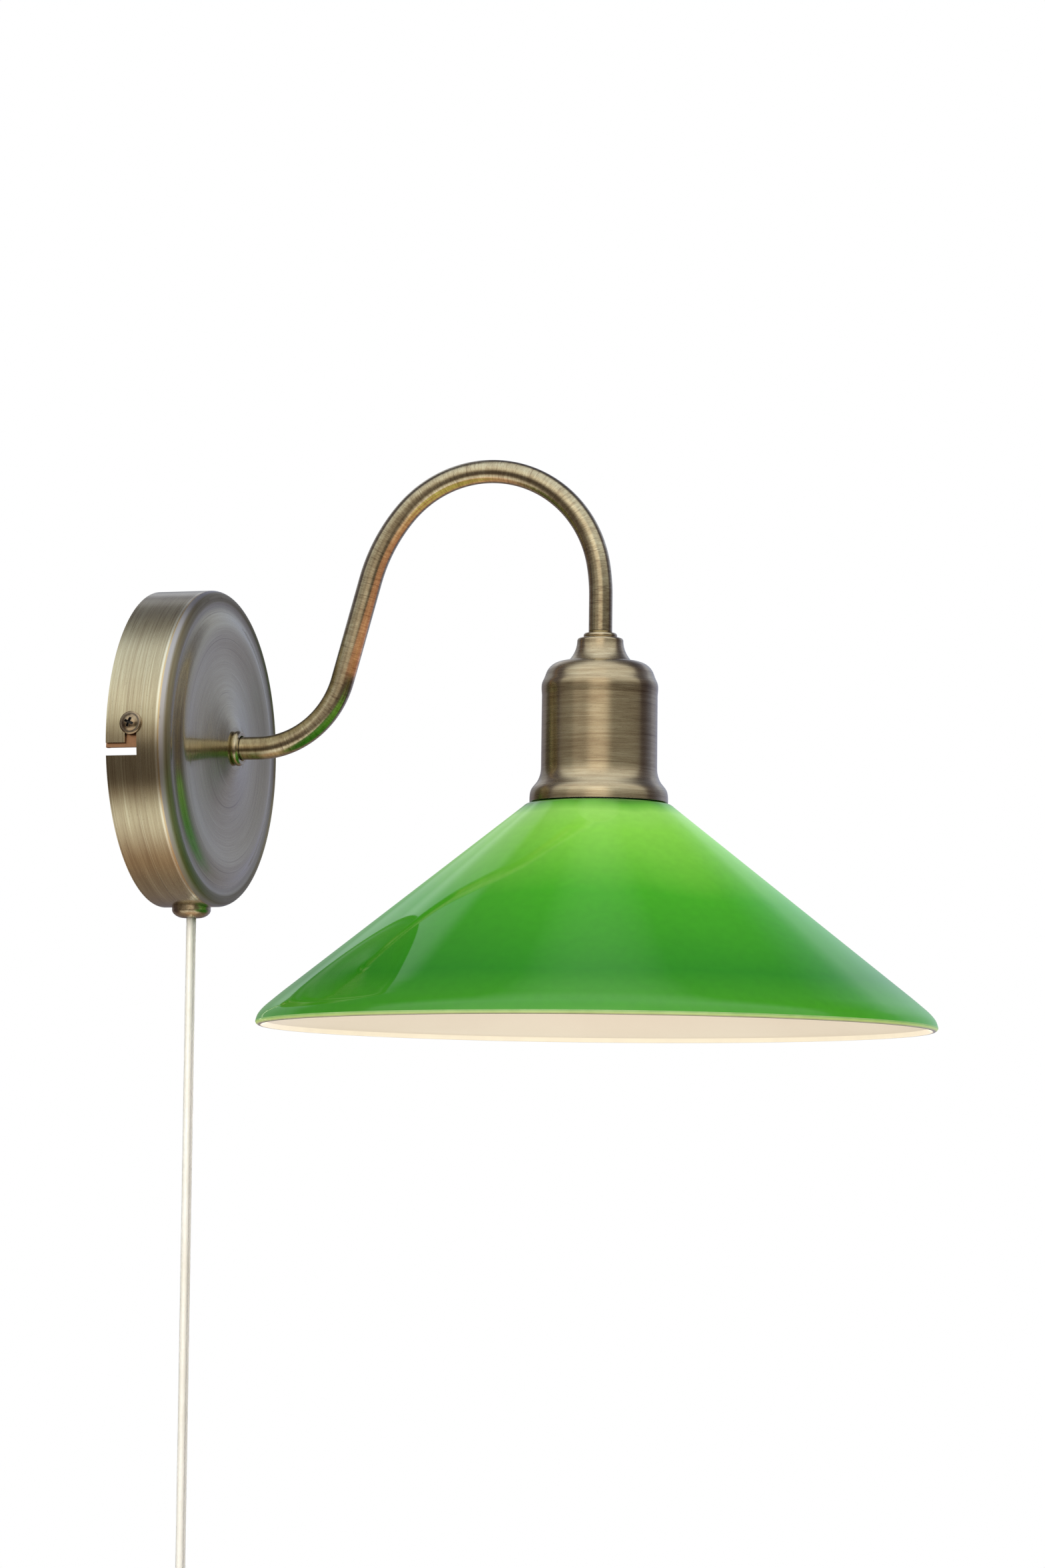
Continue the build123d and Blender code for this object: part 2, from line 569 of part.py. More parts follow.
# the three stretches are straight, so there are no corners to round
for n, run in (("power_cord_upper", NODES["power_cord_upper"]), ("power_cord_lower", low),
               ("power_cord_tail", tail)):
    area = stadium(CORD_W, CORD_H).area
    bb = run.bounding_box()
    print(n, "volume", round(run.volume, 1), "section x length",
          round(area * (bb.max.Z - bb.min.Z), 1), "no radii")

# tie round the bundle, at the front of the coil
tie = block(-COIL_W / 2 - 1.4, COIL_W / 2 + 1.4, COIL_Y - R_OUT - 1.5,
            COIL_Y - COIL_R + COIL_H / 2 + 1.4, COIL_Z - 2.5, COIL_Z + 2.5)
tie = fillet(tie.edges().filter_by(Axis.Z), 2.0)
tie -= block(-COIL_W / 2 - 0.15, COIL_W / 2 + 0.15, COIL_Y - R_OUT - 0.25,
             COIL_Y - COIL_R + COIL_H / 2 + 0.15, COIL_Z - 4, COIL_Z + 4)
put("coil_tie", tie)

# ------------------------------------------------------------------ switch
SPLIT = CORD_Y
HT = SWITCH_T / 2
WALL = 1.8
face_plane = Plane(origin=(0, SPLIT, SWITCH_Z), x_dir=(0, 0, 1), z_dir=(0, 1, 0))
front_plane = Plane(origin=(0, SPLIT, SWITCH_Z), x_dir=(0, 0, 1), z_dir=(0, -1, 0))


def half_shell(plane):
    solid = extrude(plane * RectangleRounded(SWITCH_L, SWITCH_W, 9.0), HT)
    far = solid.faces().sort_by(Axis((0, SPLIT, SWITCH_Z), plane.z_dir))[-1]
    solid = fillet(far.edges(), 3.0)
    hollow = extrude(plane * RectangleRounded(SWITCH_L - 2 * WALL, SWITCH_W - 2 * WALL, 7.2),
                     HT - WALL)
    return solid - hollow


cord_way = Pos(0, CORD_Y, SWITCH_Z) * extrude(stadium(CORD_W + 0.06, CORD_H + 0.06),
                                              HALF + 5, both=True)
sb = half_shell(face_plane)
sc = half_shell(front_plane)
posts = [(-8.6, 19.0), (8.6, -19.0)]
for x, dz in posts:
    sb += rod((x, SPLIT + 0.02, SWITCH_Z + dz), (x, SPLIT + HT - 1.0, SWITCH_Z + dz), 2.9)
    sc += rod((x, SPLIT - 0.02, SWITCH_Z + dz), (x, SPLIT - HT + 1.0, SWITCH_Z + dz), 2.9)
for x, dz in posts:
    sb -= rod((x, SPLIT - 1, SWITCH_Z + dz), (x, SPLIT + HT + 2, SWITCH_Z + dz), 1.55)
    sb -= rod((x, SPLIT + HT - 2.0, SWITCH_Z + dz), (x, SPLIT + HT + 2, SWITCH_Z + dz), 2.7)
    sc -= rod((x, SPLIT + 1, SWITCH_Z + dz), (x, SPLIT - 6.0, SWITCH_Z + dz), 1.5)
# the front half carries the rocker between two cheeks
HINGE_Y = SPLIT - 6.0
for s in (-1, 1):
    sc += block(min(s * 6.7, s * 8.7), max(s * 6.7, s * 8.7), SPLIT - HT + 0.6, HINGE_Y + 2.6,
                SWITCH_Z - 3.4, SWITCH_Z + 3.4)
    sc -= rod((s * 6.0, HINGE_Y, SWITCH_Z), (s * 8.0, HINGE_Y, SWITCH_Z), 1.25)
sc -= block(-6.6, 6.6, SPLIT - HT - 2, SPLIT - HT + 3, SWITCH_Z - 12.4, SWITCH_Z + 12.4)
sb -= cord_way
sc -= cord_way
put("switch_base", sb)
put("switch_cover", sc)
put("switch_screws", *[Pos(x, SPLIT + HT - 2.0, SWITCH_Z + dz) * back
                       * small_screw(1.45, 2.5, 1.6, 11.0) for x, dz in posts])
ROCK = 12.0
rock = [(-10.4, 5.6), (0, 3.4), (10.4, 5.6), (10.4, -1.0), (3.0, -1.9), (-3.0, -1.9),
        (-10.4, -1.0)]
rk = extrude(Plane(origin=(0, HINGE_Y, SWITCH_Z), x_dir=(0, 0, 1), z_dir=(-1, 0, 0))
             * make_face(poly([(u, v) for u, v in rock])), 6.3, both=True)
if rk.bounding_box().min.Y > HINGE_Y - 4:
    rk = extrude(Plane(origin=(0, HINGE_Y, SWITCH_Z), x_dir=(0, 0, 1), z_dir=(1, 0, 0))
                 * make_face(poly([(u, v) for u, v in rock])), 6.3, both=True)
for s in (-1, 1):
    rk += rod((s * 6.0, HINGE_Y, SWITCH_Z), (s * 7.6, HINGE_Y, SWITCH_Z), 1.2)
rk = Pos(0, HINGE_Y, SWITCH_Z) * Rot(ROCK, 0, 0) * Pos(0, -HINGE_Y, -SWITCH_Z) * rk
put("switch_rocker", rk)
put("switch_contacts", block(-10.2, -5.6, SPLIT + 2.2, SPLIT + 7.1, SWITCH_Z - 9, SWITCH_Z - 1),
    block(5.6, 10.2, SPLIT + 2.2, SPLIT + 7.1, SWITCH_Z + 1, SWITCH_Z + 9))

# -------------------------------------------------------------------- plug
relief = Pos(0, TAIL_Y, PLUG_TOP) * loft([
    Pos(0, 0, 0) * stadium(8.0, 5.6), Pos(0, 0, -22.0) * stadium(11.5, 9.0)])
shape = [(-6.2, -20.0), (-8.6, -24.0), (-13.0, -33.0), (-13.0, -54.0),
         (13.0, -54.0), (13.0, -33.0), (8.6, -24.0), (6.2, -20.0)]
pb = extrude(Plane(origin=(0, TAIL_Y, PLUG_TOP), x_dir=(1, 0, 0), z_dir=(0, -1, 0))
             * make_face(poly(shape)), 6.85, both=True)
pb = fillet(pb.edges().filter_by(Axis.Y), 2.0)
pb = fillet(pb.edges().group_by(Axis.Y)[0] + pb.edges().group_by(Axis.Y)[-1], 1.5)
plug = pb + relief
plug -= Pos(0, TAIL_Y, PLUG_TOP - 8.0) * extrude(stadium(CORD_W + 0.04, CORD_H + 0.04), 20)
PIN_X = 9.3
for s in (-1, 1):
    plug -= rod((s * PIN_X, TAIL_Y, PLUG_TOP - 55), (s * PIN_X, TAIL_Y, PLUG_TOP - 46), 2.02)
put("plug_body", plug)
pins = []
for s in (-1, 1):
    p = rod((s * PIN_X, TAIL_Y, PLUG_TOP - 73), (s * PIN_X, TAIL_Y, PLUG_TOP - 46), 2.0)
    p = fillet(p.edges().group_by(Axis.Z)[0], 1.2)
    pins.append(p)
put("plug_pins", *pins)

# ------------------------------------------------------------------- export
for name, shape_ in NODES.items():
    shape_.label = name
    export_step(shape_, "parts/" + name + ".step")
print(len(NODES), "nodes")
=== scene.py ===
import json
import math
import bpy
import bmesh
from mathutils import Vector, Matrix


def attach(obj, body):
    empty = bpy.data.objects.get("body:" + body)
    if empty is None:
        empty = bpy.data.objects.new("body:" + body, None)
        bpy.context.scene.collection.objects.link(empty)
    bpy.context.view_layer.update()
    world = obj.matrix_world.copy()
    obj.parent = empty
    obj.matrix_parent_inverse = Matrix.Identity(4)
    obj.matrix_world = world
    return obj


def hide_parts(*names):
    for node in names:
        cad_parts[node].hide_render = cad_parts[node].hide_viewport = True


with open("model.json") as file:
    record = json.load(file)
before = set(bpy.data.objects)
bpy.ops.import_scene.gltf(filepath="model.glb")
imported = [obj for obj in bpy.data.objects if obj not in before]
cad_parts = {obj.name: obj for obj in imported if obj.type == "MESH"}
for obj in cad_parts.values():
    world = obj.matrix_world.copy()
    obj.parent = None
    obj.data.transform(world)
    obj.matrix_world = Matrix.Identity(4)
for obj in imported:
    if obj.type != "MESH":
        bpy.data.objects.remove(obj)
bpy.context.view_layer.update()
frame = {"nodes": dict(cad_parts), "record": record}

# Metres. Y = 0 is the wall, the arm reaches along -Y, +Z is up.
MM = 0.001
AXIS_Y = -0.206          # the shade's vertical axis
SWITCH_Z = -0.410
COIL_Z = -0.487
COIL_Y = -0.0514
scene = bpy.context.scene
scene.view_settings.view_transform = "Standard"
scene.view_settings.look = "None"
NODES = frame["nodes"]

# ------------------------------------------------------------------- camera
az, el, roll = math.radians(-72.42), math.radians(-5.02), math.radians(0.66)
back = Vector((math.sin(az) * math.cos(el), -math.cos(az) * math.cos(el), math.sin(el)))
right = Vector((math.cos(az), math.sin(az), 0.0))
up = back.cross(right)
right2 = right * math.cos(roll) + up * math.sin(roll)
up2 = -right * math.sin(roll) + up * math.cos(roll)
cam_data = bpy.data.cameras.new("camera")
cam = bpy.data.objects.new("camera", cam_data)
scene.collection.objects.link(cam)
cam_data.sensor_fit = "AUTO"
cam_data.sensor_width = 36.0
cam_data.lens = 122.45
cam_data.clip_start, cam_data.clip_end = 0.05, 60.0
cam.matrix_world = Matrix((
    (right2.x, up2.x, back.x, -2.24604),
    (right2.y, up2.y, back.y, -0.88224),
    (right2.z, up2.z, back.z, -0.22514),
    (0, 0, 0, 1)))
scene.camera = cam


# -------------------------------------------------------------- mesh helpers
def new_object(name, verts, faces, smooth=True):
    me = bpy.data.meshes.new(name)
    me.from_pydata([tuple(v) for v in verts], [], faces)
    me.validate()
    me.update()
    if smooth:
        me.shade_smooth()
    ob = bpy.data.objects.new(name, me)
    scene.collection.objects.link(ob)
    return ob


def fix_normals(ob):
    bm = bmesh.new()
    bm.from_mesh(ob.data)
    bmesh.ops.recalc_face_normals(bm, faces=bm.faces)
    bm.to_mesh(ob.data)
    bm.free()
    ob.data.update()


def spin_mesh(name, profile, steps, centre, closed=True):
    """Surface of revolution about a vertical axis. profile: (radius, z) in millimetres."""
    verts, faces = [], []
    n = len(profile)
    for i in range(steps):
        a = 2 * math.pi * i / steps
        for r, z in profile:
            verts.append((centre[0] + r * MM * math.cos(a), centre[1] + r * MM * math.sin(a), z * MM))
    last = n if closed else n - 1
    for i in range(steps):
        j = (i + 1) % steps
        for k in range(last):
            m = (k + 1) % n
            faces.append((i * n + k, j * n + k, j * n + m, i * n + m))
    ob = new_object(name, verts, faces)
    fix_normals(ob)
    return ob


def smooth_profile(points, steps=8):
    """Catmull-Rom through (r, z) points."""
    out = []
    n = len(points)
    for i in range(n - 1):
        p0 = points[max(i - 1, 0)]
        p1, p2 = points[i], points[i + 1]
        p3 = points[min(i + 2, n - 1)]
        for s in range(steps):
            t = s / steps
            t2, t3 = t * t, t * t * t
            out.append(tuple(
                0.5 * ((2 * p1[c]) + (-p0[c] + p2[c]) * t
                       + (2 * p0[c] - 5 * p1[c] + 4 * p2[c] - p3[c]) * t2
                       + (-p0[c] + 3 * p1[c] - 3 * p2[c] + p3[c]) * t3) for c in (0, 1)))
    out.append(tuple(points[-1]))
    return out


def add_float(me, name, values):
    at = me.attributes.new(name, "FLOAT", "POINT")
    at.data.foreach_set("value", values)


# ---------------------------------------------------------------- the cord
# Flat two-core lead, its wide side along X. Control points in metres.
def coil_points():
    """Turns of the put-away length, twelve points to a turn, laid side by side and on each other."""
    # place of the lead at the back of the coil as it comes past: (column, layer radius)
    slots = [(5.9, 36.95), (5.9, 33.05), (5.9, 29.15), (0.0, 29.15), (-5.9, 29.15),
             (-5.9, 33.05), (0.0, 33.05), (0.0, 36.95)]
    pts = []
    per = 12
    grow = 1.0 / ((6 + 2 * math.cos(2 * math.pi / per)) / 8)
    for turn in range(len(slots) - 1):
        (x0, r0), (x1, r1) = slots[turn], slots[turn + 1]
        for k in range(per):
            u = k / per
            w = 0.0 if u < 0.66 else (u - 0.66) / 0.34
            w = w * w * (3 - 2 * w)
            x = x0 + (x1 - x0) * w
            r = (r0 + (r1 - r0) * w) * grow
            a = 2 * math.pi * u
            # starts at the back of the coil, heading down, and goes round under to the front
            pts.append((x * MM, COIL_Y + r * MM * math.cos(a), COIL_Z - r * MM * math.sin(a)))
    return pts


ROUTE = [
    (0.0, -0.0145, -0.0735), (0.0, -0.0145, -0.108), (0.0, -0.0145, -0.434), (0.0005, -0.0145, -0.448),
    (0.0040, -0.0145, -0.462), (0.0059, -0.0144, -0.474),
] + coil_points() + [
    (0.0, -0.0136, -0.487), (0.0, -0.0148, -0.498), (0.0, -0.0178, -0.512),
    (0.0, -0.0184, -0.524), (0.0, -0.0184, -0.533),
]
curve = bpy.data.curves.new("route", "CURVE")
curve.dimensions = "3D"
spline = curve.splines.new("NURBS")
spline.points.add(len(ROUTE) - 1)
for p, co in zip(spline.points, ROUTE):
    p.co = (co[0], co[1], co[2], 1.0)
spline.order_u = 3
spline.use_endpoint_u = True
curve.resolution_u = 8
route_ob = bpy.data.objects.new("route", curve)
scene.collection.objects.link(route_ob)
bpy.context.view_layer.update()
route_mesh = bpy.data.meshes.new_from_object(route_ob)
LINE = [v.co.copy() for v in route_mesh.vertices]
bpy.data.objects.remove(route_ob)
bpy.data.curves.remove(curve)


def sweep(name, line, section, caps=True):
    """section: (across, through) in metres, across is kept along X as far as the line lets it."""
    verts, faces = [], []
    n = len(section)
    run = [0.0]
    for a, b in zip(line, line[1:]):
        run.append(run[-1] + (b - a).length)
    for i, p in enumerate(line):
        t = (line[min(i + 1, len(line) - 1)] - line[max(i - 1, 0)]).normalized()
        w = (Vector((1, 0, 0)) - t * t.x).normalized()
        h = t.cross(w)
        for a, b in section:
            verts.append(p + w * a + h * b)
    for i in range(len(line) - 1):
        for k in range(n):
            m = (k + 1) % n
            faces.append((i * n + k, i * n + m, (i + 1) * n + m, (i + 1) * n + k))
    if caps:
        faces.append(tuple(range(n)))
        faces.append(tuple((len(line) - 1) * n + k for k in range(n)))
    ob = new_object(name, verts, faces)
    add_float(ob.data, "along", [run[i // n] for i in range(len(verts))])
    add_float(ob.data, "across", [section[i % n][0] for i in range(len(verts))])
    fix_normals(ob)
    return ob


def flat_section(width, height, waist, steps=10):
    """Two round lobes joined by a slightly waisted web."""
    r = height / 2
    c = width / 2 - r
    pts = []
    for i in range(steps + 1):
        a = -math.pi / 2 + math.pi * i / steps
        pts.append((c + r * math.cos(a), r * math.sin(a)))
    for i in range(1, 6):
        u = i / 6
        pts.append((c - 2 * c * u, r - waist * math.sin(math.pi * u)))
    for i in range(steps + 1):
        a = math.pi / 2 + math.pi * i / steps
        pts.append((-c + r * math.cos(a), r * math.sin(a)))
    for i in range(1, 6):
        u = i / 6
        pts.append((-c + 2 * c * u, -r + waist * math.sin(math.pi * u)))
    return pts


cord = sweep("power_cord", LINE, flat_section(0.0058, 0.0036, 0.00028))


def core_line(side, first=0.0, last=0.0):
    out = []
    for i, p in enumerate(LINE):
        t = (LINE[min(i + 1, len(LINE) - 1)] - LINE[max(i - 1, 0)]).normalized()
        w = (Vector((1, 0, 0)) - t * t.x).normalized()
        out.append(p + w * side)
    return out


def round_section(r, steps=14):
    return [(r * math.cos(2 * math.pi * i / steps), r * math.sin(2 * math.pi * i / steps))
            for i in range(steps)]


cores = []
for s, nm in ((-1, "cord_core_left"), (1, "cord_core_right")):
    c = sweep(nm, core_line(s * 0.00132), round_section(0.00098))
    cores.append(c)

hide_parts("power_cord_upper", "power_cord_lower", "power_cord_coil", "power_cord_tail")
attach(cord, "canopy")
for c in cores:
    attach(c, "canopy")


# ------------------------------------------------------------ node materials
class Mat:
    def __init__(self, name):
        self.m = bpy.data.materials.new(name)
        self.m.use_nodes = True
        self.t = self.m.node_tree
        self.bsdf = self.t.nodes["Principled BSDF"]

    def node(self, kind, **kw):
        n = self.t.nodes.new(kind)
        for k, v in kw.items():
            setattr(n, k, v)
        return n

    def link(self, a, b):
        self.t.links.new(a, b)

    def put(self, n, key, v):
        """v is a socket or a value."""
        if hasattr(v, "links"):
            self.link(v, n.inputs[key])
        else:
            n.inputs[key].default_value = v

    def math(self, op, a, b=None, c=None, clamp=False):
        n = self.node("ShaderNodeMath", operation=op, use_clamp=clamp)
        self.put(n, 0, a)
        if b is not None:
            self.put(n, 1, b)
        if c is not None:
            self.put(n, 2, c)
        return n.outputs[0]

    def xyz(self):
        tc = self.node("ShaderNodeTexCoord")
        s = self.node("ShaderNodeSeparateXYZ")
        self.link(tc.outputs["Object"], s.inputs[0])
        return tc.outputs["Object"], s.outputs[0], s.outputs[1], s.outputs[2]

    def combine(self, x, y, z):
        n = self.node("ShaderNodeCombineXYZ")
        for i, v in enumerate((x, y, z)):
            self.put(n, i, v)
        return n.outputs[0]

    def noise(self, vec, scale, detail=2.0, rough=0.5, w=None):
        n = self.node("ShaderNodeTexNoise", noise_dimensions="4D" if w is not None else "3D")
        self.link(vec, n.inputs["Vector"])
        if w is not None:
            self.put(n, "W", w)
        n.inputs["Scale"].default_value = scale
        n.inputs["Detail"].default_value = detail
        n.inputs["Roughness"].default_value = rough
        return n.outputs[0]

    def ramp(self, fac, stops, interpolation="LINEAR"):
        n = self.node("ShaderNodeValToRGB")
        n.color_ramp.interpolation = interpolation
        e = n.color_ramp.elements
        while len(e) < len(stops):
            e.new(0.5)
        for i, (pos, col) in enumerate(stops):
            e[i].position = pos
            e[i].color = (*col, 1.0) if len(col) == 3 else col
        self.link(fac, n.inputs[0])
        return n.outputs[0]

    def span(self, v, a, b, c, d):
        n = self.node("ShaderNodeMapRange")
        self.put(n, 0, v)
        for i, q in enumerate((a, b, c, d)):
            n.inputs[i + 1].default_value = q
        return n.outputs[0]

    def mix(self, fac, a, b, blend="MIX"):
        n = self.node("ShaderNodeMix", data_type="RGBA", blend_type=blend)
        self.put(n, "Factor", fac)
        for key, v in ((6, a), (7, b)):
            if hasattr(v, "links"):
                self.link(v, n.inputs[key])
            else:
                n.inputs[key].default_value = (*v, 1.0)
        return n.outputs[2]

    def bump(self, height, strength, distance):
        n = self.node("ShaderNodeBump")
        n.inputs["Strength"].default_value = strength
        n.inputs["Distance"].default_value = distance
        self.link(height, n.inputs["Height"])
        self.link(n.outputs[0], self.bsdf.inputs["Normal"])
        return n


def brush_coords(m, axis):
    """Coordinates that run slowly round the axis and fast along it and outwards.
    axis: 'y' through the origin, 'z' through the shade's axis, or 'arm' from stored values."""
    if axis == "arm":
        a = m.node("ShaderNodeAttribute", attribute_name="along")
        b = m.node("ShaderNodeAttribute", attribute_name="turn_c")
        c = m.node("ShaderNodeAttribute", attribute_name="turn_s")
        return m.combine(b.outputs["Fac"], c.outputs["Fac"], m.math("MULTIPLY", a.outputs["Fac"], 1000.0)), None
    _, x, y, z = m.xyz()
    if axis == "y":
        u, v, h = x, z, y
    else:
        u, v, h = x, m.math("SUBTRACT", y, AXIS_Y), z
    r = m.math("SQRT", m.math("ADD", m.math("MULTIPLY", u, u), m.math("MULTIPLY", v, v)))
    safe = m.math("MAXIMUM", r, 0.0005)
    vec = m.combine(m.math("DIVIDE", u, safe), m.math("DIVIDE", v, safe),
                    m.math("MULTIPLY", h, 1000.0))
    return vec, m.math("MULTIPLY", r, 1000.0)


def stretched(m, vec, w, round_scale, fine, detail=3.0, rough=0.6):
    mp = m.node("ShaderNodeMapping")
    mp.inputs["Scale"].default_value = (round_scale, round_scale, fine)
    m.link(vec, mp.inputs["Vector"])
    if w is None:
        return m.noise(mp.outputs[0], 1.0, detail, rough)
    return m.noise(mp.outputs[0], 1.0, detail, rough, w=m.math("MULTIPLY", w, fine))


def antique_brass(name, axis, tint=(1.0, 1.0, 1.0), rough=0.34, fine=0.55, rolled=False, turn=0.25):
    """Brushed, dark stained brass under a clear lacquer. The brushing runs round the axis.
    rolled adds a painted highlight, painted reflections and painted shade along the canopy's rolled edge and the
    groove behind it."""
    m = Mat(name)
    vec, w = brush_coords(m, axis)
    streak = stretched(m, vec, w, 0.8, fine, 7.0, 0.85)
    broad = stretched(m, vec, w, 0.8, fine * 0.2, 3.0, 0.6)
    hair = stretched(m, vec, w, 2.2, 2.2, 4.0, 0.8)
    line = stretched(m, vec, w, 0.55, 1.1, 2.0, 0.5)
    tc = m.node("ShaderNodeTexCoord")
    cloud = m.noise(tc.outputs["Object"], 24.0, 4.0, 0.6)
    speck = m.noise(tc.outputs["Object"], 1100.0, 2.0, 0.5)
    tone = m.math("ADD", m.math("MULTIPLY", streak, 0.62), m.math("MULTIPLY", broad, 0.18))
    tone = m.math("ADD", tone, m.math("MULTIPLY", cloud, 0.14))
    tone = m.math("ADD", tone, m.math("MULTIPLY", hair, 0.16))
    if rolled:
        # the face is brushed more finely than the side wall
        _, cx, cy, cz = m.xyz()
        depth = m.math("MULTIPLY", cy, -1.0)
        calm = m.span(depth, 0.0280, 0.0288, 1.0, 0.55)
        tone = m.math("ADD", m.math("MULTIPLY", m.math("SUBTRACT", tone, 0.56), calm), 0.56)
    dk, lo, md, hi = [tuple(t * v for t, v in zip(tint, c)) for c in (
        (0.200, 0.140, 0.086), (0.385, 0.305, 0.190), (0.520, 0.445, 0.290), (0.700, 0.645, 0.460))]
    col = m.ramp(tone, [(0.41, dk), (0.48, lo), (0.57, md), (0.68, hi)])
    col = m.mix(m.span(line, 0.62, 0.70, 0.0, 0.55), col, dk)
    col = m.mix(m.span(line, 0.34, 0.27, 0.0, 0.45), col, hi)
    col = m.mix(m.span(speck, 0.64, 0.78, 0.0, 0.30), col, tuple(0.6 * v for v in dk))
    rgh = m.math("ADD", m.span(hair, 0.3, 0.7, rough - 0.05, rough + 0.06), m.span(cloud, 0.3, 0.7, -0.03, 0.03))
    if rolled:
        # painted highlight: a pale line where the side wall turns into the rolled edge
        bright = m.math("MULTIPLY", m.span(depth, 0.0232, 0.0237, 0.0, 0.75), m.span(depth, 0.0243, 0.0247, 1.0, 0.0))
        col = m.mix(bright, col, (0.92, 0.88, 0.70))
        # painted reflection: a warm brown-orange line just inside the pale one
        brown = m.math("MULTIPLY", m.span(depth, 0.0243, 0.0247, 0.0, 0.75), m.span(depth, 0.0250, 0.0254, 1.0, 0.0))
        col = m.mix(brown, col, (0.74, 0.55, 0.30))
        # painted reflection: a cool lilac band across the rest of the rolled edge
        band = m.math("MULTIPLY", m.span(depth, 0.0250, 0.0255, 0.0, 1.0), m.span(depth, 0.0268, 0.0278, 1.0, 0.0))
        col = m.mix(m.math("MULTIPLY", band, 0.8), col, (0.60, 0.58, 0.62))
        # painted shade: darker in the crest's back and the groove behind it
        rad = m.math("SQRT", m.math("ADD", m.math("MULTIPLY", cx, cx), m.math("MULTIPLY", cz, cz)))
        painted_groove_shade = m.math("MULTIPLY", m.span(rad, 0.0622, 0.0640, 0.0, 1.0), m.span(depth, 0.0268, 0.0280, 0.0, 1.0))
        col = m.mix(m.math("MULTIPLY", painted_groove_shade, 0.36), col, (0.10, 0.08, 0.06))
        matte = m.math("MULTIPLY", m.span(rad, 0.0655, 0.0668, 0.0, 1.0), m.span(depth, 0.0250, 0.0255, 0.0, 1.0))
        rgh = m.math("ADD", rgh, m.math("MULTIPLY", matte, 0.28))
        m.link(m.math("SUBTRACT", 0.55, m.math("MULTIPLY", matte, 0.50)), m.bsdf.inputs["Coat Weight"])
    m.link(col, m.bsdf.inputs["Base Color"])
    m.bsdf.inputs["Metallic"].default_value = 1.0
    m.link(rgh, m.bsdf.inputs["Roughness"])
    m.bsdf.inputs["Anisotropic"].default_value = 0.78
    m.bsdf.inputs["Anisotropic Rotation"].default_value = turn
    tg = m.node("ShaderNodeTangent")
    if axis == "arm":
        tg.direction_type = "UV_MAP"
        tg.uv_map = "round"
    else:
        tg.direction_type = "RADIAL"
        tg.axis = axis.upper()
    m.link(tg.outputs[0], m.bsdf.inputs["Tangent"])
    m.bsdf.inputs["Coat Weight"].default_value = 0.55
    m.bsdf.inputs["Coat Roughness"].default_value = 0.06
    m.bump(m.math("ADD", m.math("MULTIPLY", streak, 0.5), hair), 0.10, 0.00003)
    return m.m


def plain_metal(name, color, rough, scale=900.0, bump=0.08):
    m = Mat(name)
    tc = m.node("ShaderNodeTexCoord")
    a = m.noise(tc.outputs["Object"], scale, 3.0, 0.6)
    b = m.noise(tc.outputs["Object"], 60.0, 3.0, 0.6)
    col = m.ramp(m.math("ADD", m.math("MULTIPLY", a, 0.4), m.math("MULTIPLY", b, 0.6)),
                 [(0.32, tuple(0.72 * v for v in color)), (0.68, tuple(min(1.0, 1.15 * v) for v in color))])
    m.link(col, m.bsdf.inputs["Base Color"])
    m.bsdf.inputs["Metallic"].default_value = 1.0
    m.link(m.span(a, 0.3, 0.7, rough - 0.05, rough + 0.08), m.bsdf.inputs["Roughness"])
    m.bump(a, bump, 0.00005)
    return m.m


def plastic(name, color, rough=0.25, grain=1400.0, bump=0.05, transmission=0.0, ior=1.53,
            coat=0.0, subsurface=0.0):
    m = Mat(name)
    tc = m.node("ShaderNodeTexCoord")
    a = m.noise(tc.outputs["Object"], grain, 2.0, 0.5)
    b = m.noise(tc.outputs["Object"], 45.0, 3.0, 0.5)
    col = m.ramp(b, [(0.30, tuple(0.90 * v for v in color)), (0.70, tuple(min(1.0, 1.05 * v) for v in color))])
    m.link(col, m.bsdf.inputs["Base Color"])
    m.link(m.span(a, 0.3, 0.7, rough - 0.03, rough + 0.05), m.bsdf.inputs["Roughness"])
    m.bsdf.inputs["IOR"].default_value = ior
    m.bsdf.inputs["Transmission Weight"].default_value = transmission
    m.bsdf.inputs["Coat Weight"].default_value = coat
    m.bsdf.inputs["Subsurface Weight"].default_value = subsurface
    m.bump(a, bump, 0.00004)
    return m.m


